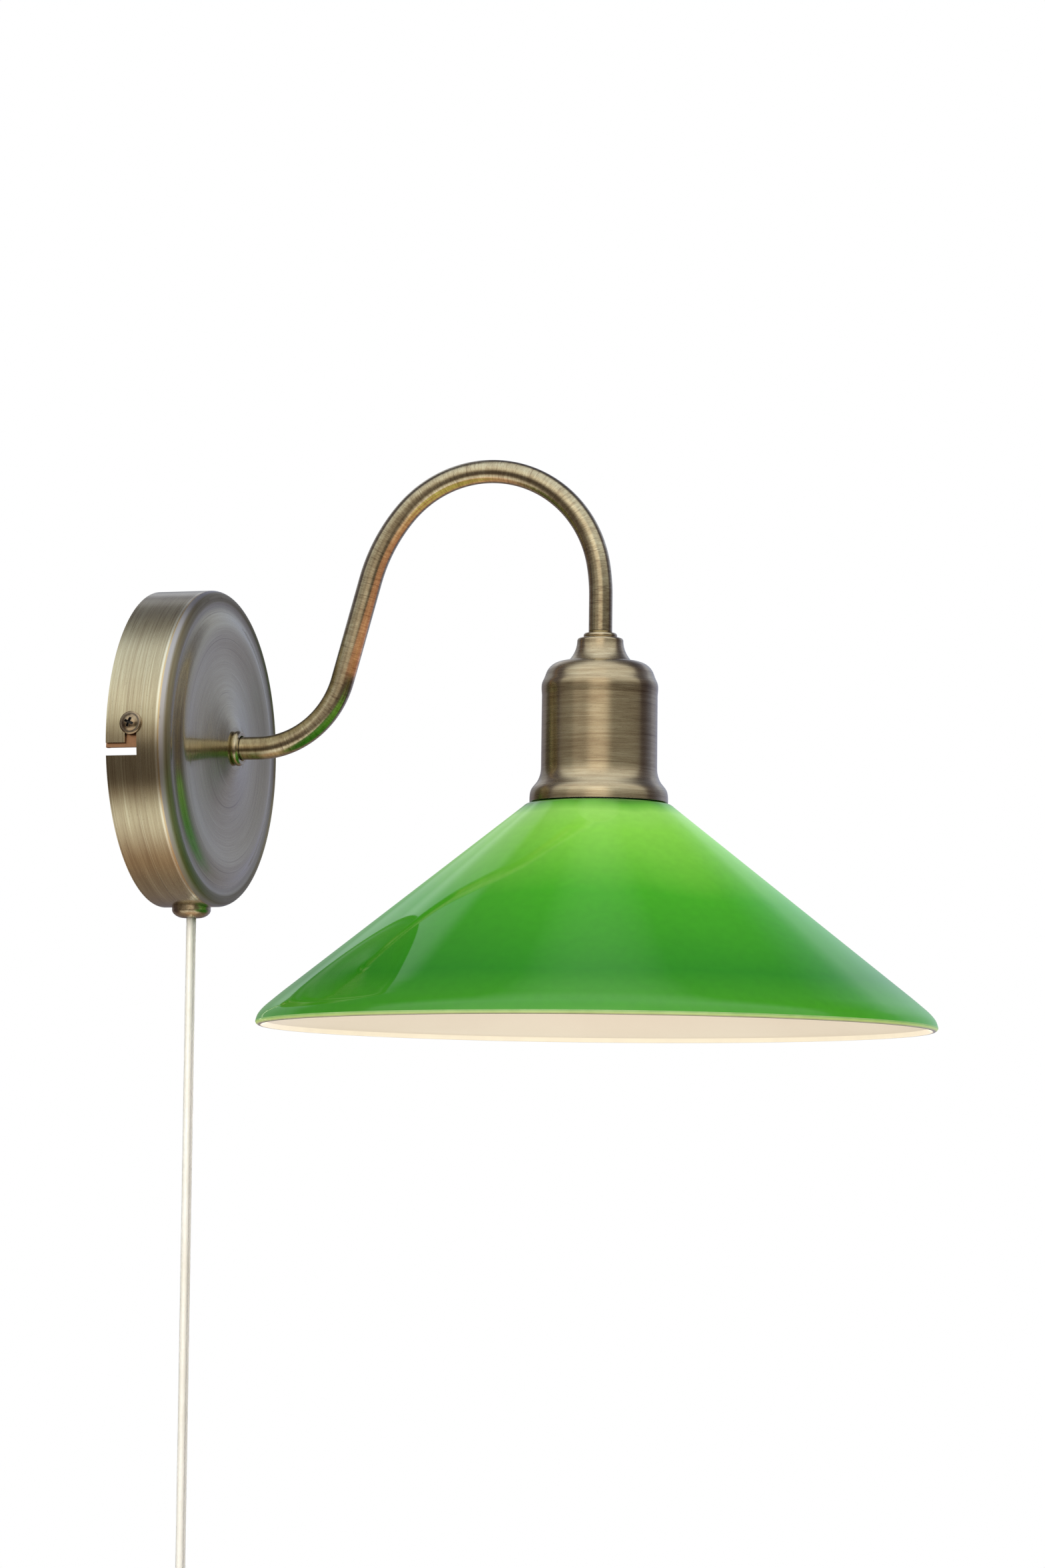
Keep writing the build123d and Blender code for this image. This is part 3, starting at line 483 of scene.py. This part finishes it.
def side_screw_finish():
    """Bronze pan head, with near-black painted shade in its cross recess and a painted shadow in the groove round its
    dome.
    """
    m = Mat("side_screw_bronze")
    _, x, y, z = m.xyz()
    r = m.math("SQRT", m.math("ADD", m.math("MULTIPLY", x, x), m.math("MULTIPLY", z, z)))
    a0 = math.radians(4.11)
    side = m.math("ADD", m.math("MULTIPLY", z, math.cos(a0)), m.math("MULTIPLY", x, math.sin(a0)))
    deep = m.math("ADD", y, 0.01205)
    off = m.math("SQRT", m.math("ADD", m.math("MULTIPLY", side, side), m.math("MULTIPLY", deep, deep)))
    tc = m.node("ShaderNodeTexCoord")
    a = m.noise(tc.outputs["Object"], 900.0, 3.0, 0.6)
    b = m.noise(tc.outputs["Object"], 300.0, 3.0, 0.6)
    col = m.ramp(m.math("ADD", m.math("MULTIPLY", a, 0.5), m.math("MULTIPLY", b, 0.5)),
                 [(0.35, (0.24, 0.17, 0.105)), (0.65, (0.48, 0.37, 0.24))])
    # painted shade: near-black in the cross recess, with less metal there
    recess = m.math("MULTIPLY", m.span(off, 0.00240, 0.00230, 0.0, 1.0), m.span(r, 0.07405, 0.07385, 0.0, 1.0))
    ca, sa = math.cos(math.radians(22)), math.sin(math.radians(22))
    arm_a = m.math("ABSOLUTE", m.math("ADD", m.math("MULTIPLY", deep, ca), m.math("MULTIPLY", side, sa)))
    arm_b = m.math("ABSOLUTE", m.math("SUBTRACT", m.math("MULTIPLY", side, ca), m.math("MULTIPLY", deep, sa)))
    cross = m.math("MULTIPLY", m.span(m.math("MINIMUM", arm_a, arm_b), 0.00072, 0.00060, 0.0, 1.0),
                   m.span(off, 0.00235, 0.00215, 0.0, 1.0))
    recess = m.math("MAXIMUM", recess, cross)
    # painted shadow: a dark ring in the groove round the dome
    groove = m.math("MULTIPLY", m.span(off, 0.00365, 0.00385, 0.0, 0.85), m.span(off, 0.00430, 0.00455, 1.0, 0.0))
    dark = m.math("MAXIMUM", recess, groove)
    col = m.mix(dark, col, (0.010, 0.008, 0.007))
    m.link(col, m.bsdf.inputs["Base Color"])
    m.link(m.math("SUBTRACT", 1.0, m.math("MULTIPLY", dark, 0.8)), m.bsdf.inputs["Metallic"])
    m.link(m.span(a, 0.3, 0.7, 0.24, 0.34), m.bsdf.inputs["Roughness"])
    m.bump(a, 0.08, 0.00004)
    return m.m


MATS = {
    "brass_canopy": antique_brass("antique_brass_canopy", "y", (1.0, 1.03, 1.05), 0.27, 1.1, rolled=True),
    "brass_round_y": antique_brass("antique_brass_collar", "y", (1.0, 1.0, 1.0), 0.27, 1.1),
    "brass_round_z": antique_brass("antique_brass_cup", "z", (1.0, 0.95, 0.93), 0.27, 0.8),
    "brass_arm": antique_brass("antique_brass_arm", "arm", (1.0, 1.0, 1.0), 0.22, 0.8),
    "terminal_brass": plain_metal("terminal_brass", (0.78, 0.60, 0.28), 0.25),
    "bracket_steel": plain_metal("bracket_steel", (0.46, 0.25, 0.14), 0.32),
    "screw_bronze": plain_metal("screw_bronze", (0.30, 0.20, 0.12), 0.28),
    "zinc_steel": plain_metal("zinc_steel", (0.66, 0.67, 0.69), 0.30),
    "cap_metal": plain_metal("cap_metal", (0.78, 0.78, 0.76), 0.25),
    "black_glass": plastic("black_glass", (0.02, 0.02, 0.022), 0.08, ior=1.5),
    "holder_ceramic": plastic("holder_ceramic", (0.85, 0.83, 0.78), 0.35, ior=1.5),
    "black_plastic": plastic("black_plastic", (0.022, 0.022, 0.023), 0.35, bump=0.15),
    "white_plastic": plastic("white_plastic", (0.84, 0.84, 0.81), 0.22, coat=0.2),
    "brown_insulation": plastic("brown_insulation", (0.16, 0.06, 0.025), 0.35),
    "blue_insulation": plastic("blue_insulation", (0.03, 0.10, 0.42), 0.35),
    "silicone": plastic("silicone", (0.75, 0.75, 0.72), 0.5),
    "clear_plastic": plastic("clear_plastic", (0.93, 0.92, 0.87), 0.10, transmission=0.80, ior=1.46),
}


def dress(node, mat):
    me = NODES[node].data
    me.materials.clear()
    me.materials.append(mat)


SLOT_OF = {s["node"]: s["material_slot"] for s in frame["record"]["subparts"]}
for n, ob in NODES.items():
    slot = SLOT_OF.get(n)
    if slot in MATS:
        dress(n, MATS[slot])
dress("canopy_side_screws", side_screw_finish())
dress("canopy_cover", MATS["brass_canopy"])
dress("arm_collar", MATS["brass_round_y"])
for n in ("neck_washer", "neck_cap", "socket_cup", "cord_grommet"):
    dress(n, MATS["brass_round_z"])


# ------------------------------------------------------------------ the arm
def arm_centreline():
    """Straight runs and arcs in the plane X = 0, as (y, z, heading) with stations in millimetres."""
    r1, t1, l2 = 41.0, 74.2, 46.7
    segs = [("arc", r1, t1), ("line", l2), ("arc", 76.6, 48.75 - t1), ("arc", 52.2, -80.0 - 48.75),
            ("arc", 82.75, -90.0 + 80.0)]
    x = y = h = 0.0
    for s in segs:
        if s[0] == "line":
            x += s[1] * math.cos(h)
            y += s[1] * math.sin(h)
        else:
            k = 1 if s[2] > 0 else -1
            h2 = h + math.radians(s[2])
            x += s[1] * k * (math.sin(h2) - math.sin(h))
            y -= s[1] * k * (math.cos(h2) - math.cos(h))
            h = h2
    first = 206.0 - 35.9 - x
    last = y - 48.1
    runs = [("line", first)] + segs + [("line", last)]
    px, py, h = 35.9, 0.0, 0.0
    pts = [(px, py, h)]
    for s in runs:
        if s[0] == "line":
            n = max(2, int(s[1] / 1.5))
            for i in range(n):
                px += s[1] / n * math.cos(h)
                py += s[1] / n * math.sin(h)
                pts.append((px, py, h))
        else:
            k = 1 if s[2] > 0 else -1
            turn = math.radians(abs(s[2]))
            n = max(4, int(turn * s[1] / 1.2))
            for i in range(n):
                h2 = h + k * turn / n
                px += s[1] * k * (math.sin(h2) - math.sin(h))
                py -= s[1] * k * (math.cos(h2) - math.cos(h))
                h = h2
                pts.append((px, py, h))
    return pts


def arm_mesh():
    line = arm_centreline()
    # threaded ends, thinner than the tube
    head = [(25.0, 0.0, 0.0, 4.2), (25.0, 0.0, 0.0, 4.75), (25.3, 0.0, 0.0, 4.95)]
    head += [(25.3 + 0.5 * i, 0.0, 0.0, 4.95 - 0.28 * (i % 2)) for i in range(1, 21)]
    head += [(35.9, 0.0, 0.0, 4.67), (35.9, 0.0, 0.0, 5.05)]
    body = [(a, b, h, 5.2) for a, b, h in line]
    body[0] = (*body[0][:3], 5.12)
    ex, ez, eh = line[-1]
    tail = [(ex, ez, eh, 5.05), (ex, ez, eh, 4.67)]
    tail += [(ex, ez - 0.5 * i, eh, 4.95 - 0.28 * (i % 2)) for i in range(1, 47)]
    tail += [(ex, 24.2, eh, 4.8), (ex, 24.0, eh, 4.2)]
    bore = [(a, b, h, 4.2) for a, b, h in reversed(line)][::3]
    rings = head + body + tail + bore
    n = 72
    verts, faces, along, tc, ts = [], [], [], [], []
    run, prev = 0.0, None
    for x, z, h, r in rings:
        if prev is not None:
            run += math.hypot(x - prev[0], z - prev[1])
        prev = (x, z)
        for k in range(n):
            a = 2 * math.pi * k / n
            side, rise = r * math.cos(a), r * math.sin(a)
            # the normal in the arm's plane is the heading turned a quarter turn
            verts.append((side * MM, -(x - rise * math.sin(h)) * MM, (z + rise * math.cos(h)) * MM))
            along.append(run * MM)
            tc.append(math.cos(a))
            ts.append(math.sin(a))
    m = len(rings)
    for i in range(m):
        j = (i + 1) % m
        for k in range(n):
            q = (k + 1) % n
            faces.append((i * n + k, i * n + q, j * n + q, j * n + k))
    ob = new_object("gooseneck", verts, faces)
    add_float(ob.data, "along", along)
    add_float(ob.data, "turn_c", tc)
    add_float(ob.data, "turn_s", ts)
    uv = ob.data.uv_layers.new(name="round")
    for poly in ob.data.polygons:
        ks = [ob.data.loops[li].vertex_index % n for li in poly.loop_indices]
        wrap = max(ks) - min(ks) > n // 2
        for li, k in zip(poly.loop_indices, ks):
            uu = (k + n if wrap and k < n // 2 else k) / n
            uv.data[li].uv = (uu, along[ob.data.loops[li].vertex_index] * 10.0)
    fix_normals(ob)
    return ob


arm = arm_mesh()
arm.data.materials.append(MATS["brass_arm"])
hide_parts("arm_tube")
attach(arm, "canopy")

# -------------------------------------------------------------------- shade
SL = 1.2594
T = 3.5
LS = math.sqrt(SL * SL + 1)
nx, nz = -1 / LS, -SL / LS
outer = [(20.2, -27.6), (24.0, -27.6), (28.5, -27.6)]
outer += smooth_profile([(28.5, -27.6), (30.4, -27.62), (32.2, -28.15), (33.6, -29.25)], 4)[1:]
for i in range(1, 41):
    r = 33.6 + (138.0 - 33.6) * i / 40
    outer.append((r, -29.25 - (r - 33.6) / SL))
lip = smooth_profile([(135.0, -29.25 - (135.0 - 33.6) / SL), (138.0, -29.25 - (138.0 - 33.6) / SL),
                      (142.6, -115.95), (146.4, -119.25), (148.9, -122.3), (149.94, -125.2)], 6)[7:]
outer += lip
rim = []
for i in range(1, 12):
    # half round edge from the outside to the inside
    a = math.pi * i / 12
    cx, cz = 148.34, -125.55
    rim.append((cx + 1.66 * math.cos(a) - 0.02, cz - 1.45 * math.sin(a) + 0.30 * math.cos(a)))
inner = []
full_out = outer[:]
for i in range(len(full_out) - 1, -1, -1):
    r, z = full_out[i]
    if r < 33.6:
        break
    a, b = full_out[max(i - 1, 0)], full_out[min(i + 1, len(full_out) - 1)]
    dx, dz = b[0] - a[0], b[1] - a[1]
    q = math.hypot(dx, dz)
    p = (r + T * dz / q, z - T * dx / q)
    if p[1] > -125.0 and p[0] < 146.4:
        inner.append(p)
inner += [(29.0, -31.1), (24.0, -31.1), (20.2, -31.1)]
n_out, n_rim, n_in = len(outer), len(rim), len(inner)
shade = spin_mesh("glass_shade_blown", outer + rim + inner, 256, (0.0, AXIS_Y))


def shade_green():
    """Green glass over white, lit from inside."""
    m = Mat("green_cased_glass")
    _, x, y, z = m.xyz()
    v = m.math("SUBTRACT", y, AXIS_Y)
    r = m.math("SQRT", m.math("ADD", m.math("MULTIPLY", x, x), m.math("MULTIPLY", v, v)))
    tc = m.node("ShaderNodeTexCoord")
    cloud = m.noise(tc.outputs["Object"], 16.0, 3.0, 0.5)
    fine = m.noise(tc.outputs["Object"], 260.0, 2.0, 0.5)
    rn = m.math("MULTIPLY", r, 1.0 / 0.150)
    sway = m.math("MULTIPLY", m.span(cloud, 0.3, 0.7, -0.025, 0.025), m.span(rn, 0.80, 0.93, 1.0, 0.0))
    rr = m.math("ADD", rn, sway)
    # painted shadow: the first two stops darken the glass just under the cup's base
    glow = m.ramp(rr, [(0.212, (0.02, 0.09, 0.008)), (0.232, (0.11, 0.37, 0.03)), (0.262, (0.27, 0.61, 0.09)), (0.335, (0.22, 0.59, 0.05)),
                       (0.60, (0.05, 0.35, 0.006)), (0.88, (0.018, 0.21, 0.005)), (1.0, (0.05, 0.29, 0.007))],
                  "LINEAR")
    speck = m.span(fine, 0.3, 0.7, 0.96, 1.04)
    # a little less light comes through on the wall side
    wallward = m.math("DIVIDE", m.math("SUBTRACT", m.math("MULTIPLY", v, 0.953), m.math("MULTIPLY", x, 0.302)), r)
    speck = m.math("MULTIPLY", speck, m.span(wallward, 0.15, 0.75, 1.0, 0.72))
    glow = m.mix(1.0, glow, m.combine(speck, speck, speck), "MULTIPLY")
    m.link(glow, m.bsdf.inputs["Emission Color"])
    m.bsdf.inputs["Emission Strength"].default_value = 0.93
    base = m.ramp(rr, [(0.2, (0.020, 0.060, 0.008)), (0.6, (0.006, 0.040, 0.004)), (1.0, (0.005, 0.032, 0.004))])
    m.link(base, m.bsdf.inputs["Base Color"])
    m.link(m.span(cloud, 0.3, 0.7, 0.03, 0.055), m.bsdf.inputs["Roughness"])
    m.bsdf.inputs["IOR"].default_value = 1.52
    ripple = m.noise(tc.outputs["Object"], 22.0, 1.0, 0.4)
    m.bump(ripple, 0.10, 0.0006)
    return m.m


def shade_opal():
    m = Mat("opal_inside")
    _, x, y, z = m.xyz()
    v = m.math("SUBTRACT", y, AXIS_Y)
    r = m.math("SQRT", m.math("ADD", m.math("MULTIPLY", x, x), m.math("MULTIPLY", v, v)))
    tc = m.node("ShaderNodeTexCoord")
    cloud = m.noise(tc.outputs["Object"], 14.0, 3.0, 0.5)
    rr = m.math("ADD", m.math("MULTIPLY", r, 1.0 / 0.150), m.span(cloud, 0.3, 0.7, -0.02, 0.02))
    glow = m.ramp(rr, [(0.2, (1.0, 0.93, 0.74)), (0.6, (1.0, 0.86, 0.65)), (0.90, (0.98, 0.80, 0.58)),
                       (1.0, (1.0, 0.86, 0.62))])
    m.link(glow, m.bsdf.inputs["Emission Color"])
    m.bsdf.inputs["Emission Strength"].default_value = 0.51
    m.link(m.ramp(cloud, [(0.3, (0.27, 0.245, 0.21)), (0.7, (0.30, 0.275, 0.24))]), m.bsdf.inputs["Base Color"])
    m.link(m.span(cloud, 0.3, 0.7, 0.16, 0.24), m.bsdf.inputs["Roughness"])
    m.bump(m.noise(tc.outputs["Object"], 30.0, 1.0, 0.4), 0.08, 0.0005)
    return m.m


def shade_rim():
    """The ground edge, grey where the clear glass shows its own colour, with the bulb's light painted on as glow:
    green on the outer side, cream on the inner side.
    """
    m = Mat("glass_edge")
    tc = m.node("ShaderNodeTexCoord")
    a = m.noise(tc.outputs["Object"], 120.0, 2.0, 0.5)
    _, x, y, z = m.xyz()
    v = m.math("SUBTRACT", y, AXIS_Y)
    r = m.math("SQRT", m.math("ADD", m.math("MULTIPLY", x, x), m.math("MULTIPLY", v, v)))
    inward = m.span(r, 0.1500, 0.1470, 0.0, 1.0)
    m.link(m.ramp(a, [(0.3, (0.10, 0.10, 0.08)), (0.7, (0.15, 0.15, 0.11))]), m.bsdf.inputs["Base Color"])
    glow = m.ramp(inward, [(0.0, (0.06, 0.30, 0.01)), (0.10, (0.34, 0.50, 0.07)), (0.32, (0.30, 0.32, 0.10)),
                           (0.46, (0.10, 0.085, 0.06)), (0.70, (0.12, 0.10, 0.07)), (0.86, (1.0, 0.86, 0.64))])
    m.link(glow, m.bsdf.inputs["Emission Color"])
    m.bsdf.inputs["Emission Strength"].default_value = 0.85
    m.link(m.span(a, 0.3, 0.7, 0.08, 0.16), m.bsdf.inputs["Roughness"])
    m.bump(a, 0.08, 0.0002)
    return m.m


for mt in (shade_green(), shade_opal(), shade_rim()):
    shade.data.materials.append(mt)
n_prof = n_out + n_rim + n_in
for poly in shade.data.polygons:
    ks = [v % n_prof for v in poly.vertices]
    lo = min(ks) if max(ks) - min(ks) < n_prof // 2 else n_prof - 1
    if lo < n_out - 1:
        poly.material_index = 0
    elif lo < n_out + n_rim:
        poly.material_index = 2
    elif lo < n_prof - 1:
        poly.material_index = 1
    else:
        poly.material_index = 2
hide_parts("glass_shade")
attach(shade, "canopy")


def opal_bulb():
    m = Mat("opal_bulb_lit")
    tc = m.node("ShaderNodeTexCoord")
    a = m.noise(tc.outputs["Object"], 60.0, 2.0, 0.5)
    _, x, y, z = m.xyz()
    f = m.span(z, -0.030, -0.075, 0.45, 1.0)
    col = m.mix(m.span(a, 0.3, 0.7, 0.0, 1.0), (1.0, 0.84, 0.60), (1.0, 0.88, 0.66))
    col = m.mix(1.0, col, m.combine(f, f, f), "MULTIPLY")
    m.link(col, m.bsdf.inputs["Emission Color"])
    m.bsdf.inputs["Emission Strength"].default_value = 0.74
    m.link(m.ramp(a, [(0.3, (0.33, 0.32, 0.30)), (0.7, (0.37, 0.36, 0.34))]), m.bsdf.inputs["Base Color"])
    m.link(m.span(a, 0.3, 0.7, 0.18, 0.26), m.bsdf.inputs["Roughness"])
    m.bump(a, 0.05, 0.0002)
    return m.m


dress("bulb_globe", opal_bulb())


# ----------------------------------------------------------- cord materials
def cord_sheath():
    m = Mat("clear_sheath")
    tc = m.node("ShaderNodeTexCoord")
    a = m.noise(tc.outputs["Object"], 700.0, 2.0, 0.5)
    b = m.noise(tc.outputs["Object"], 40.0, 3.0, 0.5)
    m.link(m.ramp(b, [(0.3, (0.90, 0.87, 0.79)), (0.7, (0.97, 0.95, 0.90))]), m.bsdf.inputs["Base Color"])
    m.link(m.span(a, 0.3, 0.7, 0.10, 0.20), m.bsdf.inputs["Roughness"])
    m.bsdf.inputs["IOR"].default_value = 1.48
    m.bsdf.inputs["Transmission Weight"].default_value = 0.72
    m.bump(a, 0.06, 0.00005)
    return m.m


def cord_core():
    """Stranded conductor under clear insulation."""
    m = Mat("stranded_core")
    al = m.node("ShaderNodeAttribute", attribute_name="along")
    ac = m.node("ShaderNodeAttribute", attribute_name="across")
    ph = m.math("ADD", m.math("MULTIPLY", al.outputs["Fac"], 2600.0), m.math("MULTIPLY", ac.outputs["Fac"], 5200.0))
    wave = m.math("SINE", ph)
    tc = m.node("ShaderNodeTexCoord")
    a = m.noise(tc.outputs["Object"], 500.0, 2.0, 0.5)
    f = m.math("ADD", m.math("MULTIPLY", wave, 0.25), a)
    m.link(m.ramp(f, [(0.25, (0.72, 0.68, 0.60)), (0.75, (0.96, 0.94, 0.90))]), m.bsdf.inputs["Base Color"])
    m.bsdf.inputs["Metallic"].default_value = 0.10
    m.link(m.span(a, 0.3, 0.7, 0.30, 0.45), m.bsdf.inputs["Roughness"])
    m.bump(wave, 0.25, 0.00008)
    return m.m


cord.data.materials.append(cord_sheath())
core_mat = cord_core()
for c in cores:
    c.data.materials.append(core_mat)


# ------------------------------------------------------ stage and the lights
def paper(name, color):
    m = Mat(name)
    tc = m.node("ShaderNodeTexCoord")
    a = m.noise(tc.outputs["Object"], 6.0, 3.0, 0.5)
    m.link(m.ramp(a, [(0.3, tuple(0.985 * v for v in color)), (0.7, color)]), m.bsdf.inputs["Base Color"])
    m.bsdf.inputs["Roughness"].default_value = 0.9
    m.bsdf.inputs["Specular IOR Level"].default_value = 0.1
    m.bsdf.inputs["Emission Color"].default_value = (1.0, 1.0, 1.0, 1.0)
    m.bsdf.inputs["Emission Strength"].default_value = 0.38
    return m.m


floor_verts, floor_faces = [], []
seg = 96
floor_verts.append((0.0, -0.2, -2.4))
for rr in (2.0, 6.0, 24.0):
    for i in range(seg):
        a = 2 * math.pi * i / seg
        floor_verts.append((rr * math.cos(a), -0.2 + rr * math.sin(a), -2.4))
for i in range(seg):
    j = (i + 1) % seg
    floor_faces.append((0, 1 + i, 1 + j))
    for k in range(2):
        floor_faces.append((1 + k * seg + i, 1 + (k + 1) * seg + i, 1 + (k + 1) * seg + j, 1 + k * seg + j))
floor = new_object("floor", floor_verts, floor_faces)
floor.data.materials.append(paper("floor_paper", (0.93, 0.93, 0.93)))
floor.visible_glossy = False


def place_light(ob, pos, target):
    ob.location = Vector(pos)
    ob.rotation_mode = "QUATERNION"
    ob.rotation_quaternion = (Vector(target) - Vector(pos)).to_track_quat("-Z", "Y")


def area(name, pos, target, size, power, color=(1, 1, 1), size_y=None, spread=None):
    d = bpy.data.lights.new(name, "AREA")
    d.energy = power
    d.color = color
    d.size = size
    if size_y:
        d.shape = "RECTANGLE"
        d.size_y = size_y
    if spread:
        d.spread = spread
    ob = bpy.data.objects.new(name, d)
    scene.collection.objects.link(ob)
    place_light(ob, pos, target)
    ob.visible_camera = False
    return ob


CENTRE = Vector((0.0, -0.15, 0.0))
# directions round the object, as the camera sees them
TO_CAM = Vector((back.x, back.y, 0)).normalized()
TO_RIGHT = Vector((right.x, right.y, 0)).normalized()


def around(side_deg, up_deg, dist):
    """A place side_deg to the camera's right of the line to the camera, up_deg above level."""
    a, b = math.radians(side_deg), math.radians(up_deg)
    d = (TO_CAM * math.cos(a) + TO_RIGHT * math.sin(a)) * math.cos(b) + Vector((0, 0, 1)) * math.sin(b)
    return CENTRE + d * dist


fill = area("soft_fill", around(-10, 20, 2.6), CENTRE, 2.0, 90, (1.0, 0.99, 0.98), 2.0)
fill.visible_glossy = False
# a small warm card inside the arch, lighting only the arm's inner side
card = area("warm_card", (0, 0, 0), (0, 0, -1), 0.10, 0.018, (1.0, 0.47, 0.27), 0.10)
card.rotation_mode = "QUATERNION"
card.location = (0.004, -0.150, 0.050)
card.rotation_quaternion = Matrix(((1, 0, 0), (0, -0.896, -0.443), (0, 0.443, -0.896))).to_quaternion()
arm_only = bpy.data.collections.new("arm_only")
arm_only.objects.link(arm)
card.light_linking.receiver_collection = arm_only

# The room: a bright diffuser above and in front, darker walls at eye height, a pale table below.
world = bpy.data.worlds.new("studio")
scene.world = world
world.use_nodes = True
wt = world.node_tree
wt.nodes.clear()


def wnode(kind, **kw):
    n = wt.nodes.new(kind)
    for k, v in kw.items():
        setattr(n, k, v)
    return n


def wput(n, key, v):
    if hasattr(v, "links"):
        wt.links.new(v, n.inputs[key])
    else:
        n.inputs[key].default_value = v


def wdot(v):
    n = wnode("ShaderNodeVectorMath", operation="DOT_PRODUCT")
    wt.links.new(w_dir, n.inputs[0])
    n.inputs[1].default_value = tuple(v)
    return n.outputs["Value"]


def wspan(v, a, b, c=0.0, d=1.0, smooth=True):
    n = wnode("ShaderNodeMapRange", interpolation_type="SMOOTHSTEP" if smooth else "LINEAR")
    wput(n, 0, v)
    for i, q in enumerate((a, b, c, d)):
        n.inputs[i + 1].default_value = q
    return n.outputs[0]


def wramp(fac, stops):
    n = wnode("ShaderNodeValToRGB")
    e = n.color_ramp.elements
    while len(e) < len(stops):
        e.new(0.5)
    for i, (pos, c) in enumerate(stops):
        e[i].position = (pos + 1) / 2
        e[i].color = (*c, 1.0)
    wput(n, 0, wspan(fac, -1.0, 1.0, smooth=False))
    return n.outputs[0]


def wmix(fac, a, b, blend="MIX"):
    n = wnode("ShaderNodeMix", data_type="RGBA", blend_type=blend)
    wput(n, "Factor", fac)
    for key, v in ((6, a), (7, b)):
        if hasattr(v, "links"):
            wt.links.new(v, n.inputs[key])
        else:
            n.inputs[key].default_value = (*v, 1.0)
    return n.outputs[2]


w_tc = wnode("ShaderNodeTexCoord")
w_dir = w_tc.outputs["Generated"]
w_sep = wnode("ShaderNodeSeparateXYZ")
wt.links.new(w_dir, w_sep.inputs[0])
w_up = w_sep.outputs[2]
front = wramp(w_up, [
    (-1.0, (0.75, 0.50, 0.33)), (-0.90, (0.95, 0.86, 0.76)), (-0.80, (1.18, 1.17, 1.10)),
    (-0.70, (1.05, 1.03, 0.95)), (-0.56, (0.42, 0.36, 0.30)), (-0.45, (0.14, 0.115, 0.095)),
    (0.02, (0.11, 0.09, 0.075)), (0.14, (0.20, 0.18, 0.15)), (0.30, (0.66, 0.67, 0.62)),
    (0.50, (0.94, 0.97, 0.95)), (1.00, (1.15, 1.22, 1.26))])
behind = wramp(w_up, [
    (-1.0, (0.75, 0.50, 0.33)), (-0.90, (0.32, 0.25, 0.20)), (-0.30, (0.18, 0.155, 0.16)),
    (0.00, (0.19, 0.165, 0.18)), (0.30, (0.34, 0.355, 0.395)), (0.48, (0.42, 0.435, 0.485)),
    (0.58, (0.18, 0.18, 0.22)), (0.74, (0.10, 0.10, 0.13)), (0.93, (0.14, 0.14, 0.16)),
    (1.00, (0.90, 0.92, 0.92))])
w_a = wdot(TO_CAM)
w_b = wdot(TO_RIGHT)
room = wmix(wspan(w_a, -0.22, 0.22), behind, front)


def wmath(op, a, b):
    n = wnode("ShaderNodeMath", operation=op)
    wput(n, 0, a)
    wput(n, 1, b)
    return n.outputs[0]


# dark curtains at both sides, at eye height
side = wmath("MULTIPLY", wspan(w_a, -0.66, -0.50), wspan(w_a, 0.06, -0.02))
side = wmath("MULTIPLY", side, wmath("MULTIPLY", wspan(w_up, -0.75, -0.60), wspan(w_up, 0.72, 0.50)))
room = wmix(side, room, wmix(1.0, room, (0.42, 0.38, 0.40), "MULTIPLY"))
# a pale screen in front, from well to the left up to just right of the camera
level = wmath("MAXIMUM", wmath("POWER", wmath("ADD", wmath("MULTIPLY", w_a, w_a), wmath("MULTIPLY", w_b, w_b)), 0.5), 0.05)
sphi = wmath("DIVIDE", w_b, level)
screen = wmath("MULTIPLY", wspan(sphi, -0.86, -0.78), wspan(sphi, 0.34, 0.16))
screen = wmath("MULTIPLY", screen, wspan(w_a, 0.0, 0.2))
screen = wmath("MULTIPLY", screen, wmath("MULTIPLY", wspan(w_up, -0.05, 0.08), wspan(w_up, 0.9, 0.5)))
room = wmix(1.0, room, wmix(screen, (0.0, 0.0, 0.0), (0.24, 0.21, 0.18)), "ADD")


def lobe(side_deg, up_deg, inner, outer, color):
    """Adds a soft round patch of light in one direction."""
    global room
    d = (around(side_deg, up_deg, 1.0) - CENTRE).normalized()
    f = wspan(wdot(d), math.cos(math.radians(outer)), math.cos(math.radians(inner)))
    c = wmix(f, (0.0, 0.0, 0.0), color)
    room = wmix(1.0, room, c, "ADD")


lobe(145, 6, 8, 45, (0.13, 0.17, 0.27))
lobe(-2, 10, 5, 30, (0.56, 0.51, 0.44))
lobe(-155, 40, 8, 13.5, (0.42, 0.44, 0.46))
lobe(-165, 27, 7, 14, (0.20, 0.21, 0.23))
w_env = wnode("ShaderNodeBackground")
w_env.inputs[1].default_value = 1.0
wt.links.new(room, w_env.inputs[0])
w_cam = wnode("ShaderNodeBackground")
w_cam.inputs[0].default_value = (1.0, 1.0, 1.0, 1)
w_cam.inputs[1].default_value = 1.0
w_lp = wnode("ShaderNodeLightPath")
w_max = wnode("ShaderNodeMath", operation="MAXIMUM")
wt.links.new(w_lp.outputs["Is Camera Ray"], w_max.inputs[0])
wt.links.new(w_lp.outputs["Is Transmission Ray"], w_max.inputs[1])
w_mix = wnode("ShaderNodeMixShader")
wt.links.new(w_max.outputs[0], w_mix.inputs[0])
wt.links.new(w_env.outputs[0], w_mix.inputs[1])
wt.links.new(w_cam.outputs[0], w_mix.inputs[2])
w_out = wnode("ShaderNodeOutputWorld")
wt.links.new(w_mix.outputs[0], w_out.inputs[0])
